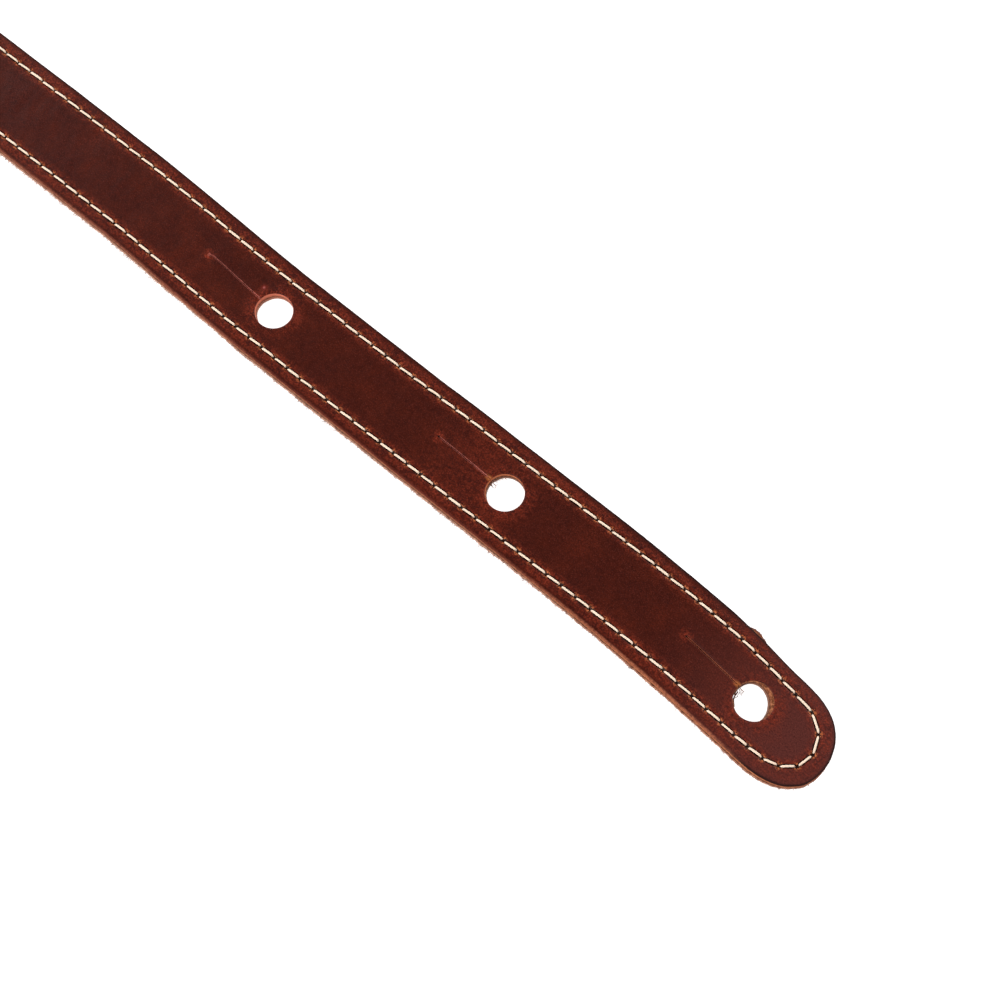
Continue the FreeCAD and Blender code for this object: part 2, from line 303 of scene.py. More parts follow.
def cut_dist(s, y):
    """Distance outside the nearest keyhole's rim, to the nearest slit, and to the nearest slit's far end."""
    rim = np.full(len(s), 1e9)
    slit, end = rim.copy(), rim.copy()
    for c, line in zip(CENTRES, SLITS):
        near = np.abs(s - line[:, 0].mean()) < 45
        if near.any():
            rim[near] = np.minimum(rim[near], np.hypot(s[near] - c[0], y[near] - c[1]) - HOLE_R)
            slit[near] = np.minimum(slit[near], seg_dist(s[near], y[near], line[:-1], line[1:]))
            end[near] = np.minimum(end[near], np.hypot(s[near] - line[-1, 0], y[near] - line[-1, 1]))
    return rim, slit, end


def facts(s, y):
    shape = np.shape(s)
    s, y = np.ravel(s).astype(float), np.ravel(y).astype(float)
    d, ns, ny, os_, oy = outline(s, y)
    line, hole = stitch_dist(s, y)
    rim, slit, end = cut_dist(s, y)
    cap = lambda v, m: np.minimum(v, m).reshape(shape)
    return {"edge": d.reshape(shape), "ns": ns.reshape(shape), "ny": ny.reshape(shape), "os": os_.reshape(shape), "oy": oy.reshape(shape),
            "line": cap(line, 30.0), "hole": cap(hole, 30.0), "rim": cap(rim, 30.0), "slit": cap(slit, 30.0), "end": cap(end, 30.0)}


def rounding(d, r):
    d = np.clip(d, 0, r)
    return r - np.sqrt(np.maximum(r * r - (r - d) ** 2, 0))


def grain(s, y, f):
    """Height of the grain face."""
    h = -0.24 * np.exp(-(f["line"] / 0.46) ** 2) - 0.34 * np.exp(-(f["hole"] / 0.40) ** 2)
    h = h + 0.055 * np.exp(-((f["line"] - 1.25) / 0.5) ** 2)
    h = h - 0.45 * np.clip(1 - f["slit"] / 0.16, 0, 1) + 0.07 * np.exp(-((f["slit"] - 0.30) / 0.16) ** 2)
    h = h + 0.05 * np.exp(-((f["rim"] - 0.9) / 0.6) ** 2)
    h = h + 0.050 * waves(s, y, 9.0, 21) + 0.016 * waves(s, y, 2.2, 22) - 0.03
    h = h - 0.10 * step(1 - f["edge"] / 3.0)
    return THICK + h - rounding(f["edge"], 0.55) - rounding(f["rim"], 0.32)


def nap(s, y, f):
    """Height of the suede face."""
    h = 0.40 * np.exp(-(f["line"] / 0.50) ** 4) + 0.35 * np.exp(-(f["hole"] / 0.40) ** 2)
    h = h + 0.35 * np.clip(1 - f["slit"] / 0.2, 0, 1)
    h = h + 0.02 * (1 + waves(s, y, 1.4, 31)) + 0.02 * (1 + waves(s, y, 6.0, 32))
    return h + rounding(f["edge"], 0.25) + rounding(f["rim"], 0.2)


def proud_outer(f, n):
    """How far the outer ply's cut edge stands out sideways."""
    e = 0.05 * waves(f["os"], f["oy"], 14.0, 41) + 0.015 * waves(f["os"], f["oy"], 1.2, 42)
    e = e + 0.24 * (f["oy"] > 0) * step((f["os"] - 31.0) / 8.0) * (1 - 0.75 * step((f["os"] - 116.0) / 14.0))
    e = e + 0.13 * (f["oy"] > 0) * step((f["os"] - 170.0) / 8.0) * step((204.0 - f["os"]) / 8.0)
    low = np.clip((1.45 - n) / 0.25, 0, 1)
    return e - 0.10 * low


def proud_back(f, n):
    """How far the backing's raw edge stands out sideways."""
    s, y = f["os"], f["oy"]
    e = 0.06 + 0.10 * waves(s, y, 5.0, 51) + 0.07 * waves(s, y, 0.9, 52) + 0.05 * waves(s + 7 * n, y + 5 * n, 0.6, 53)
    e = e + (0.20 + 0.10 * step((s - 95) / 15) * step((165 - s) / 15)) * (y < 0) * step((s - 2.0) / 8.0)
    e = e + 0.98 * step((s - 26.6) / 5.0) * step((35.3 - s) / 2.8) * (y > 0)
    e = e - 0.26 * step((s - 172.0) / 6.0) * step((198.0 - s) / 6.0) * (y < 0)
    e = e - 0.10 * (y > 0) * (1 - step((s - 26.0) / 3.0) * step((37.0 - s) / 3.0))
    e = e - 0.12 * np.clip((n - 1.05) / 0.15, 0, 1) - 0.10 * np.clip((0.2 - n) / 0.2, 0, 1)
    return e


# ---- mesh making ------------------------------------------------------------------
def finish_mesh(name, co, faces, flat, near, cut, sharp, material):
    mesh = bpy.data.meshes.new(name)
    mesh.from_pydata(co.tolist(), [], faces)
    mesh.polygons.foreach_set("use_smooth", np.ones(len(mesh.polygons), bool))
    if len(sharp):
        ev = np.zeros(len(mesh.edges) * 2, np.int64)
        mesh.edges.foreach_get("vertices", ev)
        ev = np.sort(ev.reshape(-1, 2), 1)
        key = ev[:, 0] * len(co) + ev[:, 1]
        want = np.sort(np.array(sharp, np.int64).reshape(-1, 2), 1)
        want = want[:, 0] * len(co) + want[:, 1]
        mark = np.isin(key, want)
        attr = mesh.attributes.new("sharp_edge", "BOOLEAN", "EDGE")
        attr.data.foreach_set("value", mark)
    for label, data in (("flat", flat), ("near", near), ("cut", cut)):
        attr = mesh.attributes.new(label, "FLOAT_VECTOR", "POINT")
        attr.data.foreach_set("vector", np.asarray(data, np.float32).ravel())
    mesh.materials.append(material)
    mesh.update()
    obj = bpy.data.objects.new(name, mesh)
    bpy.context.scene.collection.objects.link(obj)
    return obj


class Shell:
    """Collects vertices with their flat coordinates and masks, then faces."""

    def __init__(self):
        self.co, self.flat, self.near, self.cut, self.faces, self.sharp, self.count = [], [], [], [], [], [], 0

    def add(self, s, y, n, f, ps=None, py=None):
        """Adds points; ps and py are where they really are when that isn't s and y. Returns their indices in the same shape."""
        s, y, n = np.broadcast_arrays(np.asarray(s, float), np.asarray(y, float), np.asarray(n, float))
        ps, py = (s if ps is None else ps), (y if py is None else py)
        k = s.size
        self.co.append(place(np.ravel(ps), np.ravel(py), np.ravel(n)))
        self.flat.append(np.stack([np.ravel(ps), np.ravel(py), np.ravel(n)], 1))
        self.near.append(np.stack([np.ravel(f["edge"]), np.ravel(f["line"]), np.ravel(f["hole"])], 1))
        self.cut.append(np.stack([np.ravel(f["rim"]), np.ravel(f["slit"]), np.ravel(f["end"])], 1))
        ids = np.arange(self.count, self.count + k).reshape(s.shape)
        self.count += k
        return ids

    def quads(self, a, b, close=False):
        """Quads between two rows of vertex ids of the same length."""
        i = np.arange(len(a) - (0 if close else 1))
        j = (i + 1) % len(a)
        self.faces += np.stack([a[i], a[j], b[j], b[i]], 1).tolist()

    def make(self, name, material):
        return finish_mesh(name, np.vstack(self.co), self.faces, np.vstack(self.flat), np.vstack(self.near), np.vstack(self.cut), self.sharp, material)


EDGE_D = np.array([0, 0.05, 0.13, 0.25, 0.40, 0.58, 0.85, 1.2, 1.6, 2.0])
ROW_D = np.array([-1.25, -0.95, -0.7, -0.5, -0.34, -0.17, 0, 0.17, 0.34, 0.5, 0.7, 0.95, 1.25])
half_y = np.unique(np.round(np.concatenate([HALF - EDGE_D, 9.12 + ROW_D, np.linspace(7.2, 0.0, 10)]), 3))
half_y = half_y[np.concatenate([[True], np.diff(half_y) > 0.1])]
YS = np.concatenate([-half_y[::-1][:-1] if half_y[0] == 0 else -half_y[::-1], half_y])
YS = np.unique(YS)
OUTER_N = np.array([2.2, 1.95, 1.7, 1.45, 1.28, BACK])
BACK_N = np.array([0.95, 0.75, 0.55, 0.35, 0.15])


def push(f, amount, depth=0.9):
    """Sideways shift of points near the outline."""
    fall = step(1 - np.clip(f["edge"], 0, depth) / depth)
    return f["ns"] * amount * fall, f["ny"] * amount * fall


def lean_at(s):
    """The nearest keyhole's run-off."""
    return LEANS[np.abs(np.asarray(s)[..., None] - CENTRES[:, 0]).argmin(-1)]


def ply_face(shell, s, y, layer, f):
    if layer == "outer":
        n = grain(s, y, f)
        ds, dy = push(f, proud_outer(f, np.full(np.shape(s), 2.4)))
    else:
        n = nap(s, y, f)
        ds, dy = push(f, proud_back(f, n))
        fall = step(1 - np.clip(f["rim"], 0, 1.6) / 1.6)
        lean = lean_at(s)
        a = np.arctan2(y - CENTRES[0][1], s - CENTRES[0][0])
        torn = step((a + 0.70) / 0.12) * step((-0.22 - a) / 0.12)
        narrow = np.where(np.asarray(s) < 40, -0.80 * np.cos(a + 0.70) ** 2 * (1 - torn) + 0.10 * torn, 0.0)
        ds, dy = ds + (lean[..., 0] + narrow * np.cos(a)) * fall, dy + (lean[..., 1] + narrow * np.sin(a)) * fall
    return shell.add(s, y, n, f, s + ds, y + dy), n


def wall_rows(shell, s, y, f, layer, hole=None):
    """The rows of a wall below a ply's face along a boundary, from the face to the other face. hole is the centre of a round hole."""
    ids = []
    ns_list = OUTER_N if layer == "outer" else np.concatenate([[0.15, 0.35, 0.55, 0.75, 0.95, 1.12], [BACK]])
    for n in ns_list:
        nn = np.full(np.shape(s), float(n))
        if hole is None:
            amount = proud_outer(f, nn) if layer == "outer" else proud_back(f, nn)
            ds, dy = f["ns"] * amount, f["ny"] * amount
        else:
            a = np.arctan2(y - hole[1], s - hole[0])
            rough = 0.05 * waves(HOLE_R * a, 2.5 * nn, 0.7, 61 if layer == "outer" else 62) + 0.04 * waves(HOLE_R * a, nn, 3.0, 63)
            r = rough if layer == "outer" else rough - 0.07
            if hole[0] < 30:  # the first hole is drawn narrow at the suede face, and torn open beside the slit
                torn = step((a + 0.70) / 0.12) * step((-0.22 - a) / 0.12)
                r = r - (0.80 * np.cos(a + 0.70) ** 2 * (1 - nn / THICK) ** 0.8) * (1 - torn) + 0.10 * torn
            r = r + (0.09 * np.clip((1.4 - nn) / 0.2, 0, 1) if layer == "outer" else 0.10 * np.clip((nn - 1.05) / 0.15, 0, 1))
            lean = lean_at(s) * (1 - nn / THICK)[..., None]
            ds, dy = np.cos(a) * r + lean[..., 0], np.sin(a) * r + lean[..., 1]
        ids.append(shell.add(s, y, nn, f, s + ds, y + dy))
    return ids


def strip(name, layer, cut_a, cut_b, gap, material):
    """A piece with no keyhole: cut_a and cut_b are (s at y=0, skewed?)."""
    def seam(cut, y):
        return (cut[0] - y * SN) / CS if cut[1] else np.full_like(y, cut[0])
    count = max(2, int(math.ceil(abs((seam(cut_b, np.zeros(1)) - seam(cut_a, np.zeros(1)))[0]) / gap)) + 1)
    t = np.linspace(0, 1, count)[:, None]
    y = np.broadcast_to(YS[None, :], (count, len(YS)))
    s = seam(cut_a, YS)[None, :] * (1 - t) + seam(cut_b, YS)[None, :] * t
    shell = Shell()
    f = facts(s, y)
    face, _ = ply_face(shell, s, y, layer, f)
    walls = {}
    for side, col in ((0, 0), (1, -1)):
        fe = {k: v[:, col] for k, v in f.items()}
        walls[side] = wall_rows(shell, s[:, col], y[:, col], fe, layer)
    ring = [face[:, i] for i in range(face.shape[1])] + walls[1] + walls[0][::-1]
    flip = layer == "back"
    for a, b in zip(ring, ring[1:] + ring[:1]):
        if flip:
            shell.quads(a, b)
        else:
            shell.quads(b, a)
    for end in (0, -1):
        loop = [int(r[end]) for r in ring]
        order = loop if (end == 0) != flip else loop[::-1]
        shell.faces.append(order[::-1] if not flip else order[::-1])
        shell.sharp += list(zip(loop, loop[1:] + loop[:1]))
    shell.sharp += list(zip(walls[0][-1][:-1].tolist(), walls[0][-1][1:].tolist())) + list(zip(walls[1][-1][:-1].tolist(), walls[1][-1][1:].tolist()))
    return shell, name, material


def inside_polygon(p, poly):
    x, y = p[:, 0], p[:, 1]
    inside = np.zeros(len(p), bool)
    for a, b in zip(poly, np.roll(poly, -1, axis=0)):
        cross = (a[1] > y) != (b[1] > y)
        if cross.any():
            t = (y - a[1]) / ((b[1] - a[1]) if b[1] != a[1] else 1e-12)
            inside ^= cross & (x < a[0] + t * (b[0] - a[0]))
    return inside


def triangles(points, loops, centres):
    """Constrained Delaunay triangles of the points, inside the first loop and outside the round holes."""
    edges = []
    for loop in loops:
        edges += [(int(a), int(b)) for a, b in zip(loop, np.roll(loop, -1))]
    verts, _, tri, orig, _, _ = delaunay_2d_cdt([Vector(p) for p in points.tolist()], edges, [], 0, 1e-5)
    back = np.array([o[0] if o else -1 for o in orig], np.int64)
    tri = back[np.array([list(t) for t in tri], np.int64)]
    tri = tri[(tri >= 0).all(1)]
    mid = points[tri].mean(1)
    keep = inside_polygon(mid, points[loops[0]])
    for c in centres:
        keep &= np.hypot(mid[:, 0] - c[0], mid[:, 1] - c[1]) > HOLE_R * 0.9985
    tri = tri[keep]
    a, b, c = points[tri[:, 0]], points[tri[:, 1]], points[tri[:, 2]]
    area = (b[:, 0] - a[:, 0]) * (c[:, 1] - a[:, 1]) - (b[:, 1] - a[:, 1]) * (c[:, 0] - a[:, 0])
    tri[area < 0] = tri[area < 0][:, ::-1]
    return tri[np.abs(area) > 1e-9]


def holed(name, layer, s0, s1, gap, material, end=None):
    """A piece with keyholes, from seam s0 to seam s1. end says which rounded end it holds, if any."""
    step_out = lambda a, b: np.arange(a, b, gap)
    loops, pts, size = [], [], 0
    if end == "tail":
        n_side = int(round((s1 - 52) / gap))
        side = np.linspace(s1, 52, n_side + 1)
        tip = rounded(TIP, gap)
        edge_line = np.vstack([np.stack([side[:-1], np.full(n_side, HALF)], 1), tip, np.stack([side[::-1][1:], np.full(n_side, -HALF)], 1)])
        seam = np.stack([np.full(len(YS) - 2, s1), YS[1:-1]], 1)
        loop = np.vstack([edge_line, seam])
        seam_parts = [(len(edge_line) - 1, len(loop) + 1)]
    elif end == "head":
        n_side = int(round((HEAD_C - s0) / gap))
        side = np.linspace(s0, HEAD_C, n_side + 1)
        arc = np.linspace(math.pi / 2, -math.pi / 2, int(math.pi * HALF / gap) + 1)
        cap = np.stack([HEAD_C + HALF * np.cos(arc), HALF * np.sin(arc)], 1)
        edge_line = np.vstack([np.stack([side[:-1], np.full(n_side, HALF)], 1), cap, np.stack([side[::-1][1:], np.full(n_side, -HALF)], 1)])
        seam = np.stack([np.full(len(YS) - 2, s0), YS[1:-1]], 1)
        loop = np.vstack([edge_line, seam])
        seam_parts = [(len(edge_line) - 1, len(loop) + 1)]
    else:
        n_side = int(round((s1 - s0) / gap))
        side = np.linspace(s1, s0, n_side + 1)
        top = np.stack([side, np.full(n_side + 1, HALF)], 1)
        low = np.stack([side[::-1], np.full(n_side + 1, -HALF)], 1)
        seam_a = np.stack([np.full(len(YS) - 2, s0), YS[1:-1][::-1]], 1)
        seam_b = np.stack([np.full(len(YS) - 2, s1), YS[1:-1]], 1)
        loop = np.vstack([top, seam_a, low, seam_b])
        n = n_side + 1
        seam_parts = [(n - 1, n + len(seam_a)), (2 * n + len(seam_a) - 1, len(loop) + 1 - 0)]
    pts.append(loop)
    loops.append(np.arange(len(loop)))
    size = len(loop)
    centres = [c for c in CENTRES if s0 - 1 < c[0] < s1 + 1]
    for c in centres:
        a = np.linspace(0, 2 * math.pi, 96, endpoint=False)
        pts.append(np.stack([c[0] + HOLE_R * np.cos(a), c[1] + HOLE_R * np.sin(a)], 1))
        loops.append(np.arange(size, size + len(a)))
        size += len(a)
    fixed = np.vstack(pts)
    # inner points, in order of importance; a point too near an earlier one is left out
    extra = []

    def want(p, space):
        extra.append(np.column_stack([p, np.full(len(p), space)]))
    for c in centres:
        for d in (0.07, 0.17, 0.32, 0.6, 1.0, 1.5):
            a = np.linspace(0, 2 * math.pi, int(2 * math.pi * (HOLE_R + d) / max(0.3, 0.5 * d)), endpoint=False)
            want(np.stack([c[0] + (HOLE_R + d) * np.cos(a), c[1] + (HOLE_R + d) * np.sin(a)], 1), 0.05 if d < 0.2 else 0.12)
    for line in SLITS:
        if s0 < line[0, 0] < s1:
            q = rounded(line, 0.3)
            t = np.gradient(q, axis=0)
            t /= np.hypot(t[:, 0], t[:, 1])[:, None]
            m = np.stack([-t[:, 1], t[:, 0]], 1)
            for d in (0, 0.075, -0.075, 0.15, -0.15, 0.28, -0.28, 0.45, -0.45, 0.7, -0.7):
                want(q + m * d, 0.05)
    base = fixed[:len(loop)]
    if end == "tail":
        ol = np.vstack([edge_line])
    elif end == "head":
        ol = edge_line
    else:
        ol = None
    if ol is not None:
        t = np.gradient(ol, axis=0)
        t /= np.hypot(t[:, 0], t[:, 1])[:, None]
        m = np.stack([-t[:, 1], t[:, 0]], 1)
        mid = len(ol) // 2
        outward = np.array([-1.0, 0]) if end == "tail" else np.array([1.0, 0])
        if m[mid] @ outward > 0:
            m = -m
        for d in EDGE_D[1:]:
            want(ol + m * d, 0.035 if d < 0.3 else 0.12)
    ends = HOLES[(HOLES[:, 0] > s0 - 5) & (HOLES[:, 0] < s1 + 5)]
    bend = (HOLES[:, 0] < 36) & (HOLES_NEXT[:, 0] < 36) if end == "tail" else ((HOLES[:, 0] > HEAD_C - 5) & (HOLES_NEXT[:, 0] > HEAD_C - 5) if end == "head" else np.zeros(len(HOLES), bool))
    for p, q in zip(HOLES[bend], HOLES_NEXT[bend]):
        d = q - p
        L = np.hypot(*d)
        t = np.arange(0, L, 0.35)[:, None] / L
        m = np.array([-d[1], d[0]]) / L
        for o in ROW_D:
            want(p + d * t + m * o, 0.13)
    srow = np.arange(s0 + gap, s1 - gap * 0.5, gap)
    if end == "tail":
        srow = srow[srow > 30]
    if end == "head":
        srow = srow[srow < HEAD_C]
    for y in YS[1:-1]:
        want(np.stack([srow, np.full(len(srow), y)], 1), 0.13 if abs(abs(y) - 9.12) < 1.3 or abs(y) > 10.6 else 0.3)
    fill = np.stack(np.meshgrid(np.arange(s0 + 0.3, s1 - 0.3, 0.62), np.arange(-12.2, 12.3, 0.62)), -1).reshape(-1, 2)
    fill[:, 0] += 0.31 * (np.round(fill[:, 1] / 0.62) % 2)
    want(fill, 0.42)
    cell, taken, chosen = 0.5, {}, []
    for p in fixed.tolist():
        taken.setdefault((int(p[0] // cell), int(p[1] // cell)), []).append(p)
    poly = fixed[:len(loop)]
    cand = np.vstack(extra)
    ok = inside_polygon(cand[:, :2], poly) & (cand[:, 0] > s0 + 0.05) & (cand[:, 0] < s1 - 0.05)
    for c in centres:
        ok &= np.hypot(cand[:, 0] - c[0], cand[:, 1] - c[1]) > HOLE_R + 0.04
    for x, y, space in cand[ok].tolist():
        cx, cy = int(x // cell), int(y // cell)
        clash = False
        for i in (cx - 1, cx, cx + 1):
            for j in (cy - 1, cy, cy + 1):
                for q in taken.get((i, j), ()):
                    if (q[0] - x) ** 2 + (q[1] - y) ** 2 < space * space:
                        clash = True
                        break
                if clash:
                    break
            if clash:
                break
        if not clash:
            taken.setdefault((cx, cy), []).append((x, y))
            chosen.append((x, y))
    points = np.vstack([fixed, np.array(chosen)])
    tri = triangles(points, loops, centres)
    shell = Shell()
    f = facts(points[:, 0], points[:, 1])
    # the rim is exactly at distance 0 on the holes' own points
    face, _ = ply_face(shell, points[:, 0], points[:, 1], layer, f)
    flip = layer == "back"
    # flat (s, y, n) is left-handed in the row frame, so a counter-clockwise triangle faces down
    shell.faces += (tri if flip else tri[:, ::-1]).tolist()
    lowest = []
    seam_mask = np.zeros(len(loop), bool)
    for a, b in seam_parts:
        idx = np.arange(a, b) % len(loop)
        seam_mask[idx[1:-1]] = True
    for k, lp in enumerate(loops):
        fe = {key: v[lp].copy() for key, v in f.items()}
        if k == 0:
            fe["ns"] = np.where(seam_mask, 0.0, fe["ns"])
            fe["ny"] = np.where(seam_mask, 0.0, fe["ny"])
        p = points[lp]
        rows = wall_rows(shell, p[:, 0], p[:, 1], fe, layer, None if k == 0 else centres[k - 1])
        if k == 0:
            # on a seam the face isn't at its edge height, so the rows keep below it
            pass
        ring = [face[lp]] + rows
        outer_way = area_of(points[lp]) > 0
        for a, b in zip(ring, ring[1:]):
            if (outer_way if k == 0 else not outer_way) != flip:
                shell.quads(a, b, close=True)
            else:
                shell.quads(b, a, close=True)
        lowest.append(rows[-1])
        if k == 0:
            ids = face[lp]
            for i in np.nonzero(seam_mask | np.roll(seam_mask, 1))[0]:
                shell.sharp.append((int(ids[i - 1]), int(ids[i])))
            for i in range(len(loop)):
                j = (i + 1) % len(loop)
                if seam_mask[i] != seam_mask[j]:
                    corner = j if seam_mask[i] else i
                    column = [r[corner] for r in ring]
                    shell.sharp += [(int(u), int(v)) for u, v in zip(column, column[1:])]
        low = rows[-1]
        shell.sharp += [(int(a), int(b)) for a, b in zip(low, np.roll(low, -1))]
    flat_pts = np.vstack([points[lp] for lp in loops])
    local, at = [], 0
    for lp in loops:
        local.append(np.arange(at, at + len(lp)))
        at += len(lp)
    bottom = triangles(flat_pts, local, centres)
    ids = np.concatenate(lowest)
    shell.faces += ids[bottom[:, ::-1] if flip else bottom].tolist()
    return shell, name, material


def area_of(p):
    q = np.roll(p, -1, axis=0)
    return 0.5 * float((p[:, 0] * q[:, 1] - p[:, 1] * q[:, 0]).sum())


# ---- threads ------------------------------------------------------------------------
def frame_facts(shape):
    z = np.full(shape, 30.0)
    return {"edge": z, "line": z, "hole": z, "rim": z, "slit": z, "end": z}


def stitches(layer, pick, fine):
    """The stitches whose middle is picked, as one mesh of closed twisted strands."""
    shell = Shell()
    rows, sides = (19, 15) if fine else (11, 10)
    local = np.random.default_rng(71 if layer == "needle" else 72)
    jitter = local.standard_normal((len(HOLES), 4))
    for i, (p, q) in enumerate(zip(HOLES, HOLES_NEXT)):
        mid = (p + q) / 2
        if not pick(mid):
            continue
        d = q - p
        L = float(np.hypot(*d))
        c = d / L
        m = np.array([-c[1], c[0]])
        x = np.sin(np.linspace(-math.pi / 2, math.pi / 2, rows))
        x = 0.55 * x + 0.45 * np.linspace(-1, 1, rows)
        reach = L / 2 - (0.42 if d[0] < 0 else 0.33 + 0.10 * float(step((75 - mid[0]) / 30)))
        if i < 5 or i == len(HOLES) - 1:
            reach = L / 2 - (0.52, 0.55, 0.36, 0.38, 0.52, 0.48)[min(i, 5)]
        lie = step((640 - mid[0]) / 60) if layer == "needle" else 0.0
        top = (THICK - 0.27 + 0.27 * lie) if layer == "needle" else 0.29
        dive = 0.95 + 0.25 * lie
        arch = 1 - np.abs(x) ** 9
        mono = 0.06 * lie * (1 - x * x)
        n = top - dive * (1 - arch ** 0.5) + mono if layer == "needle" else top + 0.8 * (1 - arch ** 0.5)
        lean = -0.10 if abs(d[0]) > abs(d[1]) else 0.0  # a lock stitch lies slightly askew in its row
        side = lean * x + 0.035 * jitter[i, 0] * (1 - x * x) + 0.02 * jitter[i, 1]
        cs = mid[0] + c[0] * x * reach + m[0] * side
        cy = mid[1] + c[1] * x * reach + m[1] * side
        r = (0.256 if layer == "needle" else 0.25) * (1 + 0.04 * jitter[i, 2]) * (1 - 0.30 * np.abs(x) ** 8)
        a = np.linspace(0, 2 * math.pi, sides, endpoint=False)[None, :]
        turn = (x * reach * 2 * math.pi / 2.6)[:, None] + 0.9 * jitter[i, 3]
        lobe = 1 + 0.11 * np.cos(3 * (a + turn)) if fine else np.ones((rows, sides))
        rad = r[:, None] * lobe
        off_side, off_up = rad * np.cos(a), 0.9 * rad * np.sin(a)
        slope = np.gradient(n) / np.maximum(np.gradient(x * reach), 1e-3)
        tilt = np.arctan(slope)[:, None]
        ss = cs[:, None] + m[0] * off_side - c[0] * np.sin(tilt) * off_up
        yy = cy[:, None] + m[1] * off_side - c[1] * np.sin(tilt) * off_up
        nn = n[:, None] + np.cos(tilt) * off_up
        if layer == "bobbin":
            nn = np.maximum(nn, 0.02)
        else:
            nn = np.where(lie < 0.5, np.minimum(nn, THICK - 0.01), nn)
        f = frame_facts(ss.shape)
        f["edge"] = np.broadcast_to((x * reach)[:, None], ss.shape)
        f["line"] = np.broadcast_to(a * 0.315, ss.shape)
        f["hole"] = lobe * np.ones(ss.shape)
        ids = shell.add(ss, yy, nn, f)
        for u, v in zip(ids[:-1], ids[1:]):
            shell.quads(u, v, close=True)
        shell.faces.append(ids[0].tolist())
        shell.faces.append(ids[-1][::-1].tolist())
    return shell


# ---- loose fibres of the raw backing edge ------------------------------------------------
def fibres(shell, roots, outward, lengths, thick, seed):
    """Adds tapering curved hairs to a shell: roots are (s, y, n), outward the direction they leave in (s, y)."""
    local = np.random.default_rng(seed)
    k = len(roots)
    if not k:
        return
    roots, outward = np.asarray(roots, float), np.asarray(outward, float)
    side = np.stack([-outward[:, 1], outward[:, 0]], 1)
    tone = local.uniform(0.15, 1.0, k)
    sway, lift, curl = 0.9 * local.standard_normal(k), 0.5 * local.standard_normal(k) - 0.15, 0.9 * local.standard_normal(k)
    t = np.array([-0.15, 0.3, 0.65, 1.0])
    out = lengths[:, None] * t[None, :]
    drift = lengths[:, None] * (sway[:, None] * t + curl[:, None] * t * t)
    cs = roots[:, 0, None] + outward[:, 0, None] * out + side[:, 0, None] * drift
    cy = roots[:, 1, None] + outward[:, 1, None] * out + side[:, 1, None] * drift
    cn = np.clip(roots[:, 2, None] + lengths[:, None] * lift[:, None] * t, 0.04, 2.4)
    w = thick * np.array([1.0, 0.85, 0.6, 0.2])
    for a in range(k):
        ang = np.array([0.3, 2.4, 4.5])
        ss = cs[a][:, None] + w[:, None] * np.cos(ang) * side[a, 0]
        yy = cy[a][:, None] + w[:, None] * np.cos(ang) * side[a, 1]
        nn = cn[a][:, None] + w[:, None] * np.sin(ang)
        f = frame_facts(ss.shape)
        f["edge"] = np.full(ss.shape, -5.0)
        f["line"] = np.full(ss.shape, float(tone[a]))
        ids = shell.add(ss, yy, nn, f)
        for u, v in zip(ids[:-1], ids[1:]):
            shell.quads(u, v, close=True)
        shell.faces.append(ids[0].tolist())
        shell.faces.append(ids[-1][::-1].tolist())


# where the knife met the punched hole it left frayed strands: points (s, y), radius, tone, height
STRANDS = [
    ([(24.06, -3.83), (24.80, -3.17), (25.35, -2.45), (25.60, -1.72), (25.66, -1.13), (25.72, -0.45)], 0.20, 0.05, 1.3),
    ([(25.50, -2.62), (25.20, -1.95), (25.10, -1.40), (25.30, -0.95)], 0.09, 0.10, 1.0),
    ([(25.93, 0.28), (25.32, 0.31), (24.74, 0.39)], 0.10, 0.45, 1.8),
    ([(24.76, 0.45), (24.82, -0.08), (24.55, -0.58)], 0.07, 0.55, 1.6),
    ([(25.96, 0.01), (25.35, -0.28), (25.27, -0.83), (25.24, -1.19)], 0.08, 0.25, 1.6),
    ([(26.15, -0.43), (25.67, -0.84), (25.50, -1.43)], 0.08, 0.25, 1.6),
    ([(26.13, -1.05), (25.86, -1.29), (25.81, -1.61)], 0.06, 0.35, 1.6),
    ([(25.18, -0.04), (24.91, -0.41), (24.54, -0.68)], 0.06, 0.55, 1.4),
    ([(102.40, 0.73), (101.51, 0.46), (100.97, 0.66), (100.88, 0.99)], 0.07, 0.45, 1.8),
    ([(102.60, 0.16), (101.58, -0.17), (101.04, -0.10), (100.80, 0.17)], 0.06, 0.55, 1.4),
    ([(102.50, 1.18), (101.65, 1.19), (101.24, 1.41), (101.63, 1.59)], 0.06, 0.45, 1.9),
    ([(101.60, 0.66), (100.88, 0.42), (100.78, -0.13), (100.62, -0.39)], 0.05, 0.65, 1.4),
    ([(102.62, 0.10), (101.88, 0.04), (101.43, -0.22)], 0.07, 0.35, 1.5),
    ([(102.20, 1.90), (101.14, 2.00), (100.95, 2.49)], 0.05, 0.55, 1.9),
    ([(101.70, 2.66), (100.53, 2.71), (100.24, 3.21)], 0.05, 0.55, 1.9),
    ([(101.05, 3.31), (99.76, 3.36), (99.47, 3.86)], 0.05, 0.55, 1.9),
]


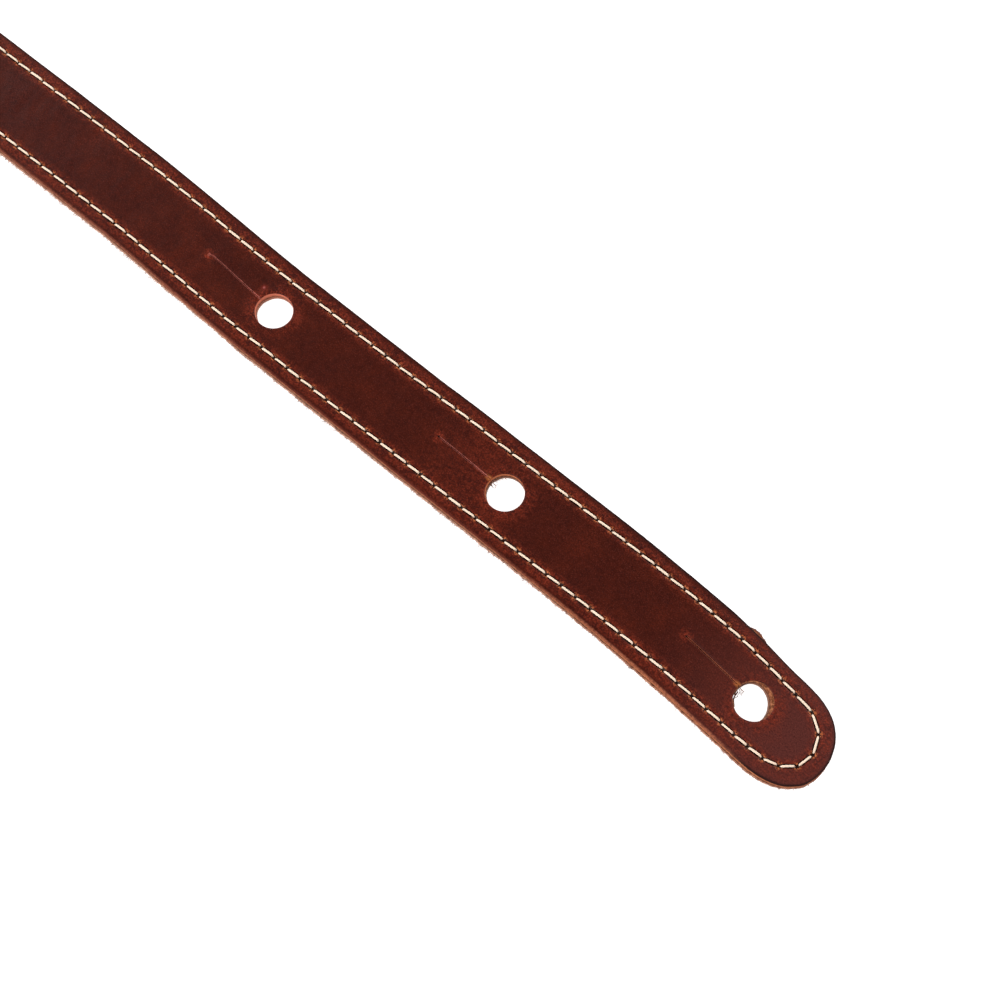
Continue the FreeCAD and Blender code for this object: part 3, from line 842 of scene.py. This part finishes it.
def strands(shell, s0, s1):
    for points, thick, shade, n in STRANDS:
        if not s0 < points[0][0] < s1:
            continue
        line = rounded(points, 0.12)
        t = np.gradient(line, axis=0)
        t /= np.maximum(np.hypot(t[:, 0], t[:, 1]), 1e-9)[:, None]
        k = np.linspace(0, 1, len(line))
        w = thick * (1 - 0.55 * k ** 3) * (1 + 0.18 * np.sin(9 * k + 7 * shade))
        a = np.linspace(0, 2 * math.pi, 7, endpoint=False)[None, :]
        ss = line[:, 0, None] - t[:, 1, None] * w[:, None] * np.cos(a)
        yy = line[:, 1, None] + t[:, 0, None] * w[:, None] * np.cos(a)
        nn = (n + 0.25 * np.sin(3.1 * k + 5 * shade))[:, None] + w[:, None] * np.sin(a)
        f = frame_facts(ss.shape)
        f["edge"] = np.full(ss.shape, -5.0)
        f["line"] = np.full(ss.shape, shade)
        ids = shell.add(ss, yy, nn, f)
        for u, v in zip(ids[:-1], ids[1:]):
            shell.quads(u, v, close=True)
        shell.faces.append(ids[0].tolist())
        shell.faces.append(ids[-1][::-1].tolist())


def edge_fibres(shell, s0, s1, seed, end=None):
    local = np.random.default_rng(seed)
    visible = s0 < 290
    roots, outs, lens = [], [], []
    for side, per_mm in ((-1, 6.5 if visible else 0.8), (1, 0.5 if visible else 0.6)):
        a, b = (max(s0, 46.0) if end == "tail" else s0), (min(s1, HEAD_C) if end == "head" else s1)
        k = int((b - a - 1) * per_mm)
        s = local.uniform(a + 0.5, b - 0.5, k)
        n = local.uniform(0.1, 1.1, k)
        stand = proud_back({"os": s, "oy": np.full(k, side * HALF)}, n) - 0.04
        roots += [(q, side * (HALF + w), m) for q, w, m in zip(s, stand, n)]
        outs += [(0, side)] * k
        clump = 0.5 + 0.5 * waves(s, 0 * s, 3.0, seed + 5)
        lens += list(np.clip(local.exponential(0.32 if side < 0 and visible else 0.16, k) * (0.4 + 1.2 * clump) + (0.20 if side < 0 else 0.12), 0.08, 1.0))
    if end == "tail":
        lengths = np.concatenate([[0], np.cumsum(np.hypot(*np.diff(FINE, axis=0).T))])
        for _ in range(560):
            i = int(local.integers(60, len(FINE)))
            lower = FINE[i, 1] < -4
            if not lower and not (29 < FINE[i, 0] < 40 and FINE[i, 1] > 0) and local.random() < 0.85:
                continue
            n = local.uniform(0.1, 1.1)
            stand = float(proud_back({"os": FINE[i:i + 1, 0], "oy": FINE[i:i + 1, 1]}, np.array([n]))[0]) - 0.04
            roots.append((FINE[i, 0] + stand * FINE_N[i, 0], FINE[i, 1] + stand * FINE_N[i, 1], n))
            outs.append(tuple(FINE_N[i]))
            lens.append(min(1.2, 0.14 + local.exponential(0.24)))
    for c, line in zip(CENTRES, SLITS):
        if not s0 < c[0] < s1:
            continue
        tail = c[0] < 600
        for _ in range(150):
            a = local.uniform(0, 2 * math.pi)
            toward = math.atan2(line[0, 1] - c[1], line[0, 0] - c[0])
            close = math.cos(a - toward - (-0.35 if tail else 0.0)) > 0.86
            if not close and local.random() < 0.72:
                continue
            n = local.uniform(0.1, 1.3)
            lean = lean_at(np.array(c[0])) * (1 - n / THICK)
            roots.append((c[0] + (HOLE_R + 0.02) * math.cos(a) + lean[0], c[1] + (HOLE_R + 0.02) * math.sin(a) + lean[1], n))
            outs.append((-math.cos(a), -math.sin(a)))
            lens.append(min(0.7, (0.14 + local.exponential(0.14)) if close else 0.07 + local.exponential(0.08)))
    fibres(shell, roots, outs, np.array(lens), 0.052 if visible else 0.030, seed + 9)
    strands(shell, s0, s1)


# ---- materials ---------------------------------------------------------------------------
class Nodes:
    def __init__(self, name):
        self.material = bpy.data.materials.new(name)
        self.material.use_nodes = True
        self.tree = self.material.node_tree
        self.tree.nodes.clear()
        self.out = self.tree.nodes.new("ShaderNodeOutputMaterial")
        self.shader = self.tree.nodes.new("ShaderNodeBsdfPrincipled")
        self.tree.links.new(self.shader.outputs[0], self.out.inputs[0])

    def put(self, socket, value):
        if isinstance(value, bpy.types.NodeSocket):
            self.tree.links.new(value, socket)
        else:
            socket.default_value = value

    def set(self, name, value):
        self.put(self.shader.inputs[name], value)

    def attribute(self, name):
        n = self.tree.nodes.new("ShaderNodeAttribute")
        n.attribute_name = name
        return n.outputs["Vector"]

    def split(self, vector):
        n = self.tree.nodes.new("ShaderNodeSeparateXYZ")
        self.put(n.inputs[0], vector)
        return n.outputs[0], n.outputs[1], n.outputs[2]

    def join(self, x, y, z):
        n = self.tree.nodes.new("ShaderNodeCombineXYZ")
        for socket, v in zip(n.inputs, (x, y, z)):
            self.put(socket, v)
        return n.outputs[0]

    def math(self, op, a, b=0.0, c=None, clamp=False):
        n = self.tree.nodes.new("ShaderNodeMath")
        n.operation, n.use_clamp = op, clamp
        self.put(n.inputs[0], a)
        self.put(n.inputs[1], b)
        if c is not None:
            self.put(n.inputs[2], c)
        return n.outputs[0]

    def scale(self, vector, x, y, z):
        n = self.tree.nodes.new("ShaderNodeVectorMath")
        n.operation = "MULTIPLY"
        self.put(n.inputs[0], vector)
        n.inputs[1].default_value = (x, y, z)
        return n.outputs[0]

    def noise(self, vector, size, detail=2.0, rough=0.5, warp=0.0):
        n = self.tree.nodes.new("ShaderNodeTexNoise")
        self.put(n.inputs["Vector"], vector)
        n.inputs["Scale"].default_value = 1.0 / size
        n.inputs["Detail"].default_value = detail
        n.inputs["Roughness"].default_value = rough
        n.inputs["Distortion"].default_value = warp
        return n.outputs["Fac"]

    def cells(self, vector, size, feature="F1"):
        n = self.tree.nodes.new("ShaderNodeTexVoronoi")
        n.feature = feature
        self.put(n.inputs["Vector"], vector)
        n.inputs["Scale"].default_value = 1.0 / size
        return n.outputs["Distance"]

    def span(self, v, a, b, lo=0.0, hi=1.0, smooth=True):
        n = self.tree.nodes.new("ShaderNodeMapRange")
        n.interpolation_type = "SMOOTHSTEP" if smooth else "LINEAR"
        n.clamp = True
        self.put(n.inputs[0], v)
        for i, x in enumerate((a, b, lo, hi)):
            n.inputs[i + 1].default_value = x
        return n.outputs[0]

    def mix(self, fac, a, b, kind="MIX"):
        n = self.tree.nodes.new("ShaderNodeMix")
        n.data_type, n.blend_type = "RGBA", kind
        n.clamp_factor = True
        self.put(n.inputs[0], fac)
        for socket, v in ((n.inputs[6], a), (n.inputs[7], b)):
            self.put(socket, v if isinstance(v, bpy.types.NodeSocket) else (*v, 1.0))
        return n.outputs[2]

    def bump(self, height, distance, strength=1.0, normal=None):
        n = self.tree.nodes.new("ShaderNodeBump")
        n.inputs["Strength"].default_value = strength
        n.inputs["Distance"].default_value = distance
        self.put(n.inputs["Height"], height)
        if normal is not None:
            self.put(n.inputs["Normal"], normal)
        return n.outputs[0]


def srgb(r, g, b):
    f = lambda v: v / 255 / 12.92 if v / 255 <= 0.04045 else ((v / 255 + 0.055) / 1.055) ** 2.4
    return (f(r), f(g), f(b))


SCAR_S, SCAR_Y = 178.9, 3.3  # a small bare nick in the grain above the third keyhole


def leather():
    k = Nodes("oxblood_pull_up_leather")
    flat, near, cut = k.attribute("flat"), k.attribute("near"), k.attribute("cut")
    s, y, n = k.split(flat)
    edge, line, hole = k.split(near)
    rim, slit, end = k.split(cut)
    cloud = k.noise(k.scale(flat, 1, 1, 0.3), 9.0, 3, 0.55, 0.4)
    mottle = k.noise(k.scale(flat, 1, 1.15, 0.5), 1.25, 4, 0.68, 0.6)
    fine = k.noise(flat, 0.42, 3, 0.6)
    grit = k.noise(k.scale(flat, 1, 1.2, 0.6), 0.62, 3, 0.7, 0.3)
    pepper = k.noise(k.scale(flat, 1, 1, 1), 0.27, 2, 0.6)
    streak = k.noise(k.scale(flat, 0.30, 1, 1), 0.9, 3, 0.6, 0.5)
    # where the finish is worn to rust: the margins outside the stitches, along the stitches, round the keyholes, at slit ends
    margin = k.math("MULTIPLY", k.span(edge, 0.5, 1.6), k.span(edge, 5.8, 3.0))
    along_row = k.span(line, 2.6, 0.5)
    around = k.math("MULTIPLY", k.span(rim, 4.6, 0.2), k.span(k.noise(flat, 5.0, 2, 0.5), 0.40, 0.58, 0.45, 1.0))
    margin = k.math("MULTIPLY", margin, k.math("SUBTRACT", 1.0, k.math("MULTIPLY", k.span(s, 28.0, 12.0), k.span(y, 3.0, -6.0, 0.0, 0.60))))
    tip = k.span(end, 2.6, 0.3)
    worn = k.math("MAXIMUM", k.math("MULTIPLY", margin, 0.62), k.math("MULTIPLY", along_row, 0.66))
    worn = k.math("MAXIMUM", worn, k.math("MULTIPLY", around, 0.80))
    worn = k.math("MAXIMUM", worn, k.math("MULTIPLY", tip, 0.95))
    warm = k.math("MULTIPLY", k.span(s, 86.0, 98.0), k.span(s, 128.0, 106.0))
    worn = k.math("MAXIMUM", worn, k.math("MULTIPLY", warm, 0.36))
    patch = k.math("ADD", k.math("MULTIPLY", mottle, 0.95), k.math("MULTIPLY", cloud, 0.35))
    patch = k.math("ADD", patch, k.math("MULTIPLY", grit, 0.80))
    patch = k.span(patch, 0.90, 1.22)
    middle = k.math("MULTIPLY", k.span(cloud, 0.48, 0.72), 0.13)
    rust = k.math("MULTIPLY", k.math("MAXIMUM", worn, middle), k.math("ADD", k.math("MULTIPLY", patch, 0.95), 0.12), clamp=True)
    body = k.mix(k.span(mottle, 0.36, 0.64), srgb(54, 14, 6), srgb(66, 19, 9))
    body = k.mix(k.math("MULTIPLY", k.span(cloud, 0.35, 0.65), 0.5), body, srgb(69, 20, 6))
    # towards the tip the body is painted lighter and greyer: a painted sheen where the tip catches the light
    painted_tip_sheen = k.math("MULTIPLY", k.span(s, 52.0, 6.0), 0.9)
    body = k.mix(painted_tip_sheen, body, srgb(85, 40, 35))
    dusk = k.mix(k.math("MULTIPLY", k.span(mottle, 0.52, 0.38), k.math("MULTIPLY", worn, 0.8)), body, srgb(46, 15, 14))
    colour = k.mix(rust, dusk, srgb(108, 37, 20))
    glow = k.math("MULTIPLY", k.math("MULTIPLY", rust, k.span(fine, 0.48, 0.66)), 0.75)
    colour = k.mix(glow, colour, srgb(152, 60, 42))
    colour = k.mix(k.math("MULTIPLY", k.span(fine, 0.55, 0.30), 0.42), colour, srgb(34, 8, 8))
    colour = k.mix(k.math("MULTIPLY", k.span(pepper, 0.52, 0.70), 0.25), colour, srgb(130, 64, 54))
    colour = k.mix(k.math("MULTIPLY", k.span(pepper, 0.46, 0.30), 0.30), colour, srgb(30, 8, 8))
    # painted shade in the stitch channel and at the needle holes, where the threads shade the grain, with small bare
    # nicks beside them
    painted_channel_shade = k.math("MULTIPLY", k.span(line, 0.66, 0.44), 0.90)
    colour = k.mix(painted_channel_shade, colour, srgb(24, 10, 3))
    nick = k.math("MULTIPLY", k.math("MULTIPLY", k.span(hole, 1.25, 0.55), k.span(fine, 0.45, 0.58)), k.span(line, 0.30, 0.44))
    colour = k.mix(k.math("MULTIPLY", nick, 0.9), colour, srgb(190, 106, 62))
    scar = k.math("SQRT", k.math("ADD", k.math("POWER", k.math("SUBTRACT", s, SCAR_S), 2.0), k.math("POWER", k.math("SUBTRACT", y, SCAR_Y), 2.0)))
    colour = k.mix(k.math("MULTIPLY", k.span(scar, 1.15, 0.35), 0.42), colour, srgb(122, 40, 32))
    colour = k.mix(k.math("MULTIPLY", k.span(scar, 0.46, 0.14), 0.75), colour, srgb(158, 84, 78))
    # the slit: raw fibres at its lips
    lips = k.math("MULTIPLY", k.span(slit, 0.29, 0.12), k.span(rim, -0.2, 0.4))
    lips = k.math("MULTIPLY", lips, k.math("ADD", 0.55, k.math("MULTIPLY", k.span(rim, 12.0, 0.5), 0.40)))
    lips = k.math("MULTIPLY", lips, k.span(s, 30.0, 70.0, 0.85, 1.0))
    colour = k.mix(k.math("MULTIPLY", lips, k.span(grit, 0.34, 0.54, 0.40, 1.0)), colour, k.mix(k.span(s, 45.0, 90.0), srgb(168, 92, 64), srgb(186, 106, 94)))
    dot = k.math("MULTIPLY", k.span(end, 0.46, 0.20), k.span(s, 150.0, 130.0))
    colour = k.mix(k.math("MULTIPLY", dot, 0.85), colour, srgb(26, 8, 8))
    colour = k.mix(k.math("MULTIPLY", k.math("MULTIPLY", k.span(end, 0.62, 0.30), k.span(s, 130.0, 150.0)), 0.7), colour, srgb(168, 88, 74))
    mouth = k.math("MULTIPLY", k.span(slit, 0.95, 0.15), k.span(rim, 2.0, 0.3))
    colour = k.mix(k.math("MULTIPLY", k.math("MULTIPLY", mouth, k.span(s, 140.0, 110.0)), 0.75), colour, srgb(176, 104, 54))
    # burnished outer edge, painted darker along the +y side and round the tip: partly the burnish, partly painted shade
    # where the rounded edge turns away from the light
    burnt = k.math("MULTIPLY", k.span(edge, 0.75, 0.12), k.span(n, 2.0, 2.5))
    burnish_and_edge_shade = k.math("MAXIMUM", k.span(y, -9.0, 4.0, 0.0, 0.95), k.span(s, 24.0, 11.0, 0.0, 0.85))
    colour = k.mix(k.math("MULTIPLY", burnt, burnish_and_edge_shade), colour, srgb(18, 5, 4))
    # on the -y side the rounded grain edge is painted lighter tan: partly bare leather, partly a painted highlight line
    # where that edge catches the light
    bare_and_highlit_edge = k.mix(k.span(s, 36.0, 105.0), srgb(156, 90, 64), srgb(92, 37, 24))
    bare_and_highlit_edge = k.mix(k.span(s, 160.0, 185.0), bare_and_highlit_edge, srgb(120, 64, 48))
    low = k.math("MULTIPLY", k.math("MULTIPLY", k.span(edge, 0.62, 0.12), k.span(y, -4.0, -11.0)), k.span(n, 2.0, 2.5))
    low = k.math("MULTIPLY", low, k.span(s, 12.0, 26.0))
    colour = k.mix(k.math("MULTIPLY", low, k.span(grit, 0.36, 0.60, 0.30, 1.0)), colour, bare_and_highlit_edge)
    # the cut walls: raw leather, in fine lines
    lines = k.noise(k.scale(flat, 0.5, 0.5, 7.0), 0.8, 3, 0.6)
    raw = k.mix(k.span(lines, 0.36, 0.64), srgb(122, 64, 38), srgb(186, 114, 74))
    raw = k.mix(k.span(n, 2.10, 2.30, 0.0, 0.7), raw, srgb(112, 52, 34))
    raw = k.mix(k.span(s, 50.0, 95.0, 0.0, 0.45), raw, srgb(100, 54, 46))
    tuft = k.noise(k.scale(flat, 1, 1, 1.5), 0.75, 3, 0.65)
    raw = k.mix(k.span(tuft, 0.50, 0.38, 0.0, 0.55), raw, srgb(92, 44, 32))
    raw = k.mix(k.span(tuft, 0.54, 0.66, 0.0, 0.40), raw, srgb(210, 140, 100))
    bored = k.mix(k.span(lines, 0.36, 0.64), srgb(88, 47, 27), srgb(134, 78, 50))
    # the third keyhole's wall is painted lighter: painted light to offset the shade it sits in
    bored = k.mix(k.span(s, 120.0, 150.0, 0.0, 0.6), bored, srgb(186, 108, 84))
    # a painted highlight band on the upper hole wall just below the rim
    rim_highlight_band = k.mix(k.span(s, 120.0, 150.0), srgb(186, 106, 70), srgb(196, 112, 88))
    bored = k.mix(k.math("MULTIPLY", k.span(n, 1.75, 2.05), k.span(s, 30.0, 60.0, 0.0, 0.9)), bored, rim_highlight_band)
    first = k.span(s, 50.0, 30.0)
    bored = k.mix(k.math("MULTIPLY", first, k.span(grit, 0.46, 0.62, 0.0, 0.75)), bored, srgb(182, 116, 80))
    bored = k.mix(k.math("MULTIPLY", first, k.span(grit, 0.46, 0.34, 0.0, 0.5)), bored, srgb(64, 36, 20))
    raw = k.mix(k.span(rim, 0.6, 0.1), raw, bored)
    raw = k.mix(k.math("MULTIPLY", k.span(n, 1.38, 1.22), k.span(rim, 0.1, 0.6, 0.6, 0.55)), raw, srgb(70, 34, 20))
    wall = k.math("MAXIMUM", k.span(n, 2.50, 2.32), k.math("MULTIPLY", k.span(n, 2.86, 2.66), k.span(rim, 0.3, 0.1)))
    wall = k.math("MULTIPLY", wall, k.math("MAXIMUM", k.span(edge, 0.4, 0.05), k.span(rim, 0.4, 0.05)))
    colour = k.mix(wall, colour, raw)
    k.set("Base Color", colour)
    rough = k.math("ADD", 0.36, k.math("MULTIPLY", mottle, 0.14))
    rough = k.math("MAXIMUM", rough, k.math("MULTIPLY", k.span(edge, 0.9, 0.3), 0.80))
    k.set("Roughness", k.math("MAXIMUM", rough, k.math("MULTIPLY", wall, 0.9)))
    k.set("Specular IOR Level", 0.09)
    grain_cells = k.cells(flat, 0.55)
    height = k.math("ADD", k.math("MULTIPLY", grain_cells, 0.5), k.math("MULTIPLY", fine, 0.7))
    height = k.math("ADD", height, k.math("MULTIPLY", streak, 0.6))
    k.set("Normal", k.bump(height, 0.00006, 0.70))
    return k.material


def suede():
    k = Nodes("raw_tan_suede")
    flat, near = k.attribute("flat"), k.attribute("near")
    s, y, n = k.split(flat)
    edge, line, hole = k.split(near)
    cloud = k.noise(flat, 7.0, 3, 0.55, 0.5)
    nap_tex = k.noise(k.scale(flat, 0.6, 1, 1), 0.55, 4, 0.65, 0.6)
    fibre = k.noise(k.scale(flat, 0.35, 0.35, 5.0), 0.45, 3, 0.65, 0.3)
    colour = k.mix(k.span(nap_tex, 0.30, 0.70), srgb(150, 88, 58), srgb(198, 132, 96))
    colour = k.mix(k.math("MULTIPLY", k.span(cloud, 0.35, 0.68), 0.45), colour, srgb(172, 96, 62))
    edge_mask = k.math("MULTIPLY", k.span(edge, 0.35, 0.03), k.span(n, 0.02, 0.2))
    raw = k.mix(k.span(fibre, 0.34, 0.66), srgb(104, 58, 38), srgb(190, 128, 96))
    raw = k.mix(k.span(s, 48.0, 90.0, 0.0, 0.42), raw, srgb(212, 168, 145))
    tuft = k.noise(k.scale(flat, 1, 1, 1.5), 0.75, 3, 0.65)
    raw = k.mix(k.span(tuft, 0.50, 0.38, 0.0, 0.65), raw, srgb(88, 46, 34))
    raw = k.mix(k.span(tuft, 0.54, 0.66, 0.0, 0.55), raw, srgb(212, 156, 124))
    colour = k.mix(edge_mask, colour, raw)
    colour = k.mix(k.math("MULTIPLY", edge_mask, k.span(y, 4.0, 10.0, 0.0, 0.6)), colour, srgb(112, 48, 40))
    rim = k.split(k.attribute("cut"))[0]
    bored = k.mix(k.span(fibre, 0.34, 0.66), srgb(84, 50, 30), srgb(150, 98, 70))
    # the backing's wall in the third keyhole is painted lighter too: painted light to offset the shade it sits in
    bored = k.mix(k.span(s, 120.0, 150.0, 0.0, 0.5), bored, srgb(180, 112, 88))
    colour = k.mix(k.math("MULTIPLY", k.span(rim, 0.35, 0.05), k.span(edge, -1.0, 0.0)), colour, bored)
    colour = k.mix(k.math("MULTIPLY", k.span(n, 1.02, 1.18), k.span(rim, 0.1, 0.6, 0.7, 0.35)), colour, srgb(70, 34, 22))
    hair = k.span(edge, -4.0, -4.5)
    colour = k.mix(hair, colour, k.mix(line, srgb(78, 44, 34), srgb(218, 166, 144)))
    dirty = k.math("MULTIPLY", k.span(line, 0.75, 0.35), 0.5)
    colour = k.mix(dirty, colour, srgb(96, 52, 34))
    k.set("Base Color", colour)
    k.set("Roughness", 0.94)
    k.set("Specular IOR Level", 0.12)
    k.set("Sheen Weight", 0.25)
    k.set("Sheen Roughness", 0.5)
    k.set("Normal", k.bump(nap_tex, 0.00012, 0.8))
    return k.material


def thread(name, light, dark):
    k = Nodes(name)
    flat, near = k.attribute("flat"), k.attribute("near")
    x, a, lobe = k.split(near)
    strand = k.noise(k.join(k.math("MULTIPLY", x, 1.0), k.math("ADD", a, k.math("MULTIPLY", x, 0.75)), 0.0), 0.09, 2, 0.6)
    tone = k.noise(flat, 3.0, 2, 0.5)
    colour = k.mix(k.span(strand, 0.30, 0.66), dark, light)
    colour = k.mix(k.math("MULTIPLY", k.span(tone, 0.42, 0.64), 0.30), colour, tuple(c * 0.86 for c in light))
    # painted shade in the grooves between the thread's twisted plies
    twist_groove_shade = k.span(lobe, 0.97, 0.89)
    colour = k.mix(k.math("MULTIPLY", twist_groove_shade, 0.5), colour, tuple(c * 0.62 for c in dark))
    k.set("Base Color", colour)
    k.set("Roughness", 0.62)
    k.set("Specular IOR Level", 0.25)
    k.set("Sheen Weight", 0.15)
    k.set("Normal", k.bump(strand, 0.00003, 0.6))
    return k.material


LEATHER, SUEDE = leather(), suede()
NEEDLE = thread("cream_needle_thread", srgb(255, 235, 213), srgb(242, 205, 176))
BOBBIN = thread("cream_bobbin_thread", srgb(250, 228, 204), srgb(232, 198, 166))

# ---- the pieces: every ply and stitch row, one piece for each joint -------------------------
U_OF = lambda s: s * CS
fold_u = [U_FOLD + k * PITCH for k in range(5)]
seams = [None, (125.0, False), (200.0, False), (300.0, False), (450.0, False)]
seams += [(u + PITCH / 2, True) for u in fold_u[:4]]
seams += [(690.0 * CS, True), (810.0, False), (900.0, False), (1000.0, False), None]
ORDER = ["bend_tail_1", "bend_tail_2", "bend_tail_3", "bend_tail_4", *FOLDS, "unfold_touch", "bend_head_1", "bend_head_2", "bend_head_3"]
LABEL = ["tail_1", "tail_2", "tail_3", "tail_4", "fold_1", "fold_2", "fold_3", "fold_4", "fold_5", "landing", "head_1", "head_2", "head_3"]
BODIES = {"tail_tip", "tail_2", "tail_3", "tail_4", "tail_5", "fold_1", "fold_2", "fold_3", "fold_4", "slope", "head_1", "head_2", "head_3", "head_end"}


def zone(joint):
    """The two bodies, and two points on the strap either side of the joint."""
    j = JOINTS[joint]
    if joint in BENDS:
        s = BENDS[joint]
        away = 12.0
        lo, hi = place(s - away, 0.0, 1.5), place(s + away, 0.0, 1.5)
    else:
        k = FOLDS.index(joint) if joint in FOLDS else 5
        u = fold_u[k] if k < 5 else U_TOUCH
        away = 10.4 if k < 5 else 11.0
        lo, hi = place((u - away) / CS, 0.0, 1.5), place((u + away) / CS, 0.0, 1.5)
        middle = (lo + hi) / 2
        axis = np.array(j["axis"], float)
        d = hi - lo
        d = d - axis * (d @ axis)
        lo, hi = middle - d / 2, middle + d / 2
    first = j["parent"] if joint not in ("bend_tail_1", "bend_tail_2", "bend_tail_3", "bend_tail_4") else j["child"]
    second = j["child"] if first == j["parent"] else j["parent"]
    return first, second, lo, hi


def body_nodes(body):
    return [n for n, o in frame["nodes"].items() if o["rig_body"] == body]


def seam_s(cut, y):
    return (cut[0] - y * SN) / CS if cut[1] else cut[0]


stood_for = set()


def settle(obj, joint, prefix):
    first, second, lo, hi = zone(joint)
    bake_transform(obj)
    names = [f"{prefix}_{first}", f"{prefix}_{second}"]
    names = [n for n in names if n in frame["nodes"] and n not in stood_for]
    stood_for.update(names)
    if names:
        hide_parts(*names)
    return obj


for i, joint in enumerate(ORDER):
    a, b = seams[i], seams[i + 1]
    label = LABEL[i]
    visible = i < 4 and label != "tail_4"
    for layer, prefix, slot, material in (("outer", "outer_ply", "outer_leather", LEATHER), ("back", "backing_ply", "suede_backing", SUEDE)):
        name = f"{'outer_leather' if layer == 'outer' else 'suede_backing'}_{label}"
        if i == 0:
            made = holed(name, layer, 0.0, 125.0, 0.40, material, "tail")
        elif i == 1:
            made = holed(name, layer, 125.0, 200.0, 0.40, material)
        elif i == 12:
            made = holed(name, layer, 1000.0, LENGTH, 0.62, material, "head")
        else:
            gap = 0.40 if visible else (1.0 if 4 <= i <= 8 else 0.9)
            made = strip(name, layer, a, b, gap, material)
        shell = made[0]
        if layer == "back":
            s0 = 0.0 if a is None else float(seam_s(a, 0.0))
            s1 = LENGTH if b is None else float(seam_s(b, 0.0))
            edge_fibres(shell, s0 + (4 if a and a[1] else 0), s1 - (4 if b and b[1] else 0), 100 + i, "tail" if i == 0 else ("head" if i == 12 else None))
        settle(shell.make(name, material), joint, prefix)
    for layer, prefix, slot, material in (("needle", "needle_thread", "needle_thread", NEEDLE), ("bobbin", "bobbin_thread", "bobbin_thread", BOBBIN)):
        pick = lambda m: (a is None or m[0] >= seam_s(a, m[1])) and (b is None or m[0] < seam_s(b, m[1]))
        shell = stitches(layer, pick, fine=visible and layer == "needle")
        settle(shell.make(f"{layer}_stitches_{label}", material), joint, prefix)

# ---- stage: floor, light, camera ---------------------------------------------------------
floor_mesh = bpy.data.meshes.new("floor")
R = 6.0
floor_mesh.from_pydata([(-R, -R, 0), (R, -R, 0), (R, R, 0), (-R, R, 0)], [], [(0, 1, 2, 3)])
floor = bpy.data.objects.new("floor", floor_mesh)
floor.location.z = -0.0002
bpy.context.scene.collection.objects.link(floor)
k = Nodes("white_table")
k.set("Base Color", (0.50, 0.50, 0.50, 1.0))
k.set("Roughness", 0.9)
k.set("Specular IOR Level", 0.0)
k.set("Emission Color", (1.0, 1.0, 1.0, 1.0))
k.set("Emission Strength", 0.93)
floor_mesh.materials.append(k.material)

world = bpy.data.worlds.new("studio")
world.use_nodes = True
bpy.context.scene.world = world
wt = world.node_tree
wt.nodes.clear()
w_out = wt.nodes.new("ShaderNodeOutputWorld")
w_mix = wt.nodes.new("ShaderNodeMixShader")
w_dim = wt.nodes.new("ShaderNodeBackground")
w_white = wt.nodes.new("ShaderNodeBackground")
w_path = wt.nodes.new("ShaderNodeLightPath")
w_dim.inputs[0].default_value = (1, 1, 1, 1)
w_dim.inputs[1].default_value = 0.45
w_white.inputs[0].default_value = (1, 1, 1, 1)
w_white.inputs[1].default_value = 1.0
w_coord = wt.nodes.new("ShaderNodeTexCoord")
w_split = wt.nodes.new("ShaderNodeSeparateXYZ")
w_range = wt.nodes.new("ShaderNodeMapRange")  # a tent that is bright at the sides and dark overhead
w_range.interpolation_type = "SMOOTHSTEP"
for i, v in enumerate((0.45, 0.92, 0.80, 0.05)):
    w_range.inputs[i + 1].default_value = v
wt.links.new(w_coord.outputs["Generated"], w_split.inputs[0])
wt.links.new(w_split.outputs[2], w_range.inputs[0])
wt.links.new(w_range.outputs[0], w_dim.inputs[1])
wt.links.new(w_path.outputs["Is Camera Ray"], w_mix.inputs[0])
wt.links.new(w_dim.outputs[0], w_mix.inputs[1])
wt.links.new(w_white.outputs[0], w_mix.inputs[2])
wt.links.new(w_mix.outputs[0], w_out.inputs[0])

aim = Vector((0.10, 0.10, 0.0))


def softbox(name, at, width, power):
    light = bpy.data.lights.new(name, "AREA")
    light.shape, light.size, light.energy = "DISK", width, power
    obj = bpy.data.objects.new(name, light)
    obj.location = Vector(at)
    obj.rotation_euler = (aim - Vector(at)).to_track_quat("-Z", "Y").to_euler()
    bpy.context.scene.collection.objects.link(obj)
    return obj


softbox("softbox_front", (-0.15, -1.25, 0.95), 0.9, 20)
softbox("softbox_back", (0.55, 1.35, 0.85), 0.9, 13)
softbox("softbox_left", (-1.35, 0.45, 0.85), 0.9, 11)

camera = bpy.data.cameras.new("camera")
camera.sensor_width, camera.lens = 36.0, 64.8
camera.clip_start, camera.clip_end = 0.01, 50.0
cam = bpy.data.objects.new("camera", camera)
cam.location = (0.2770, 0.0232, 0.4039)
look = Vector((0.17998, 0.13852, 0.003))
cam.rotation_euler = (look - cam.location).to_track_quat("-Z", "Y").to_euler()
bpy.context.scene.collection.objects.link(cam)
bpy.context.scene.camera = cam
bpy.context.scene.view_settings.view_transform = "Standard"
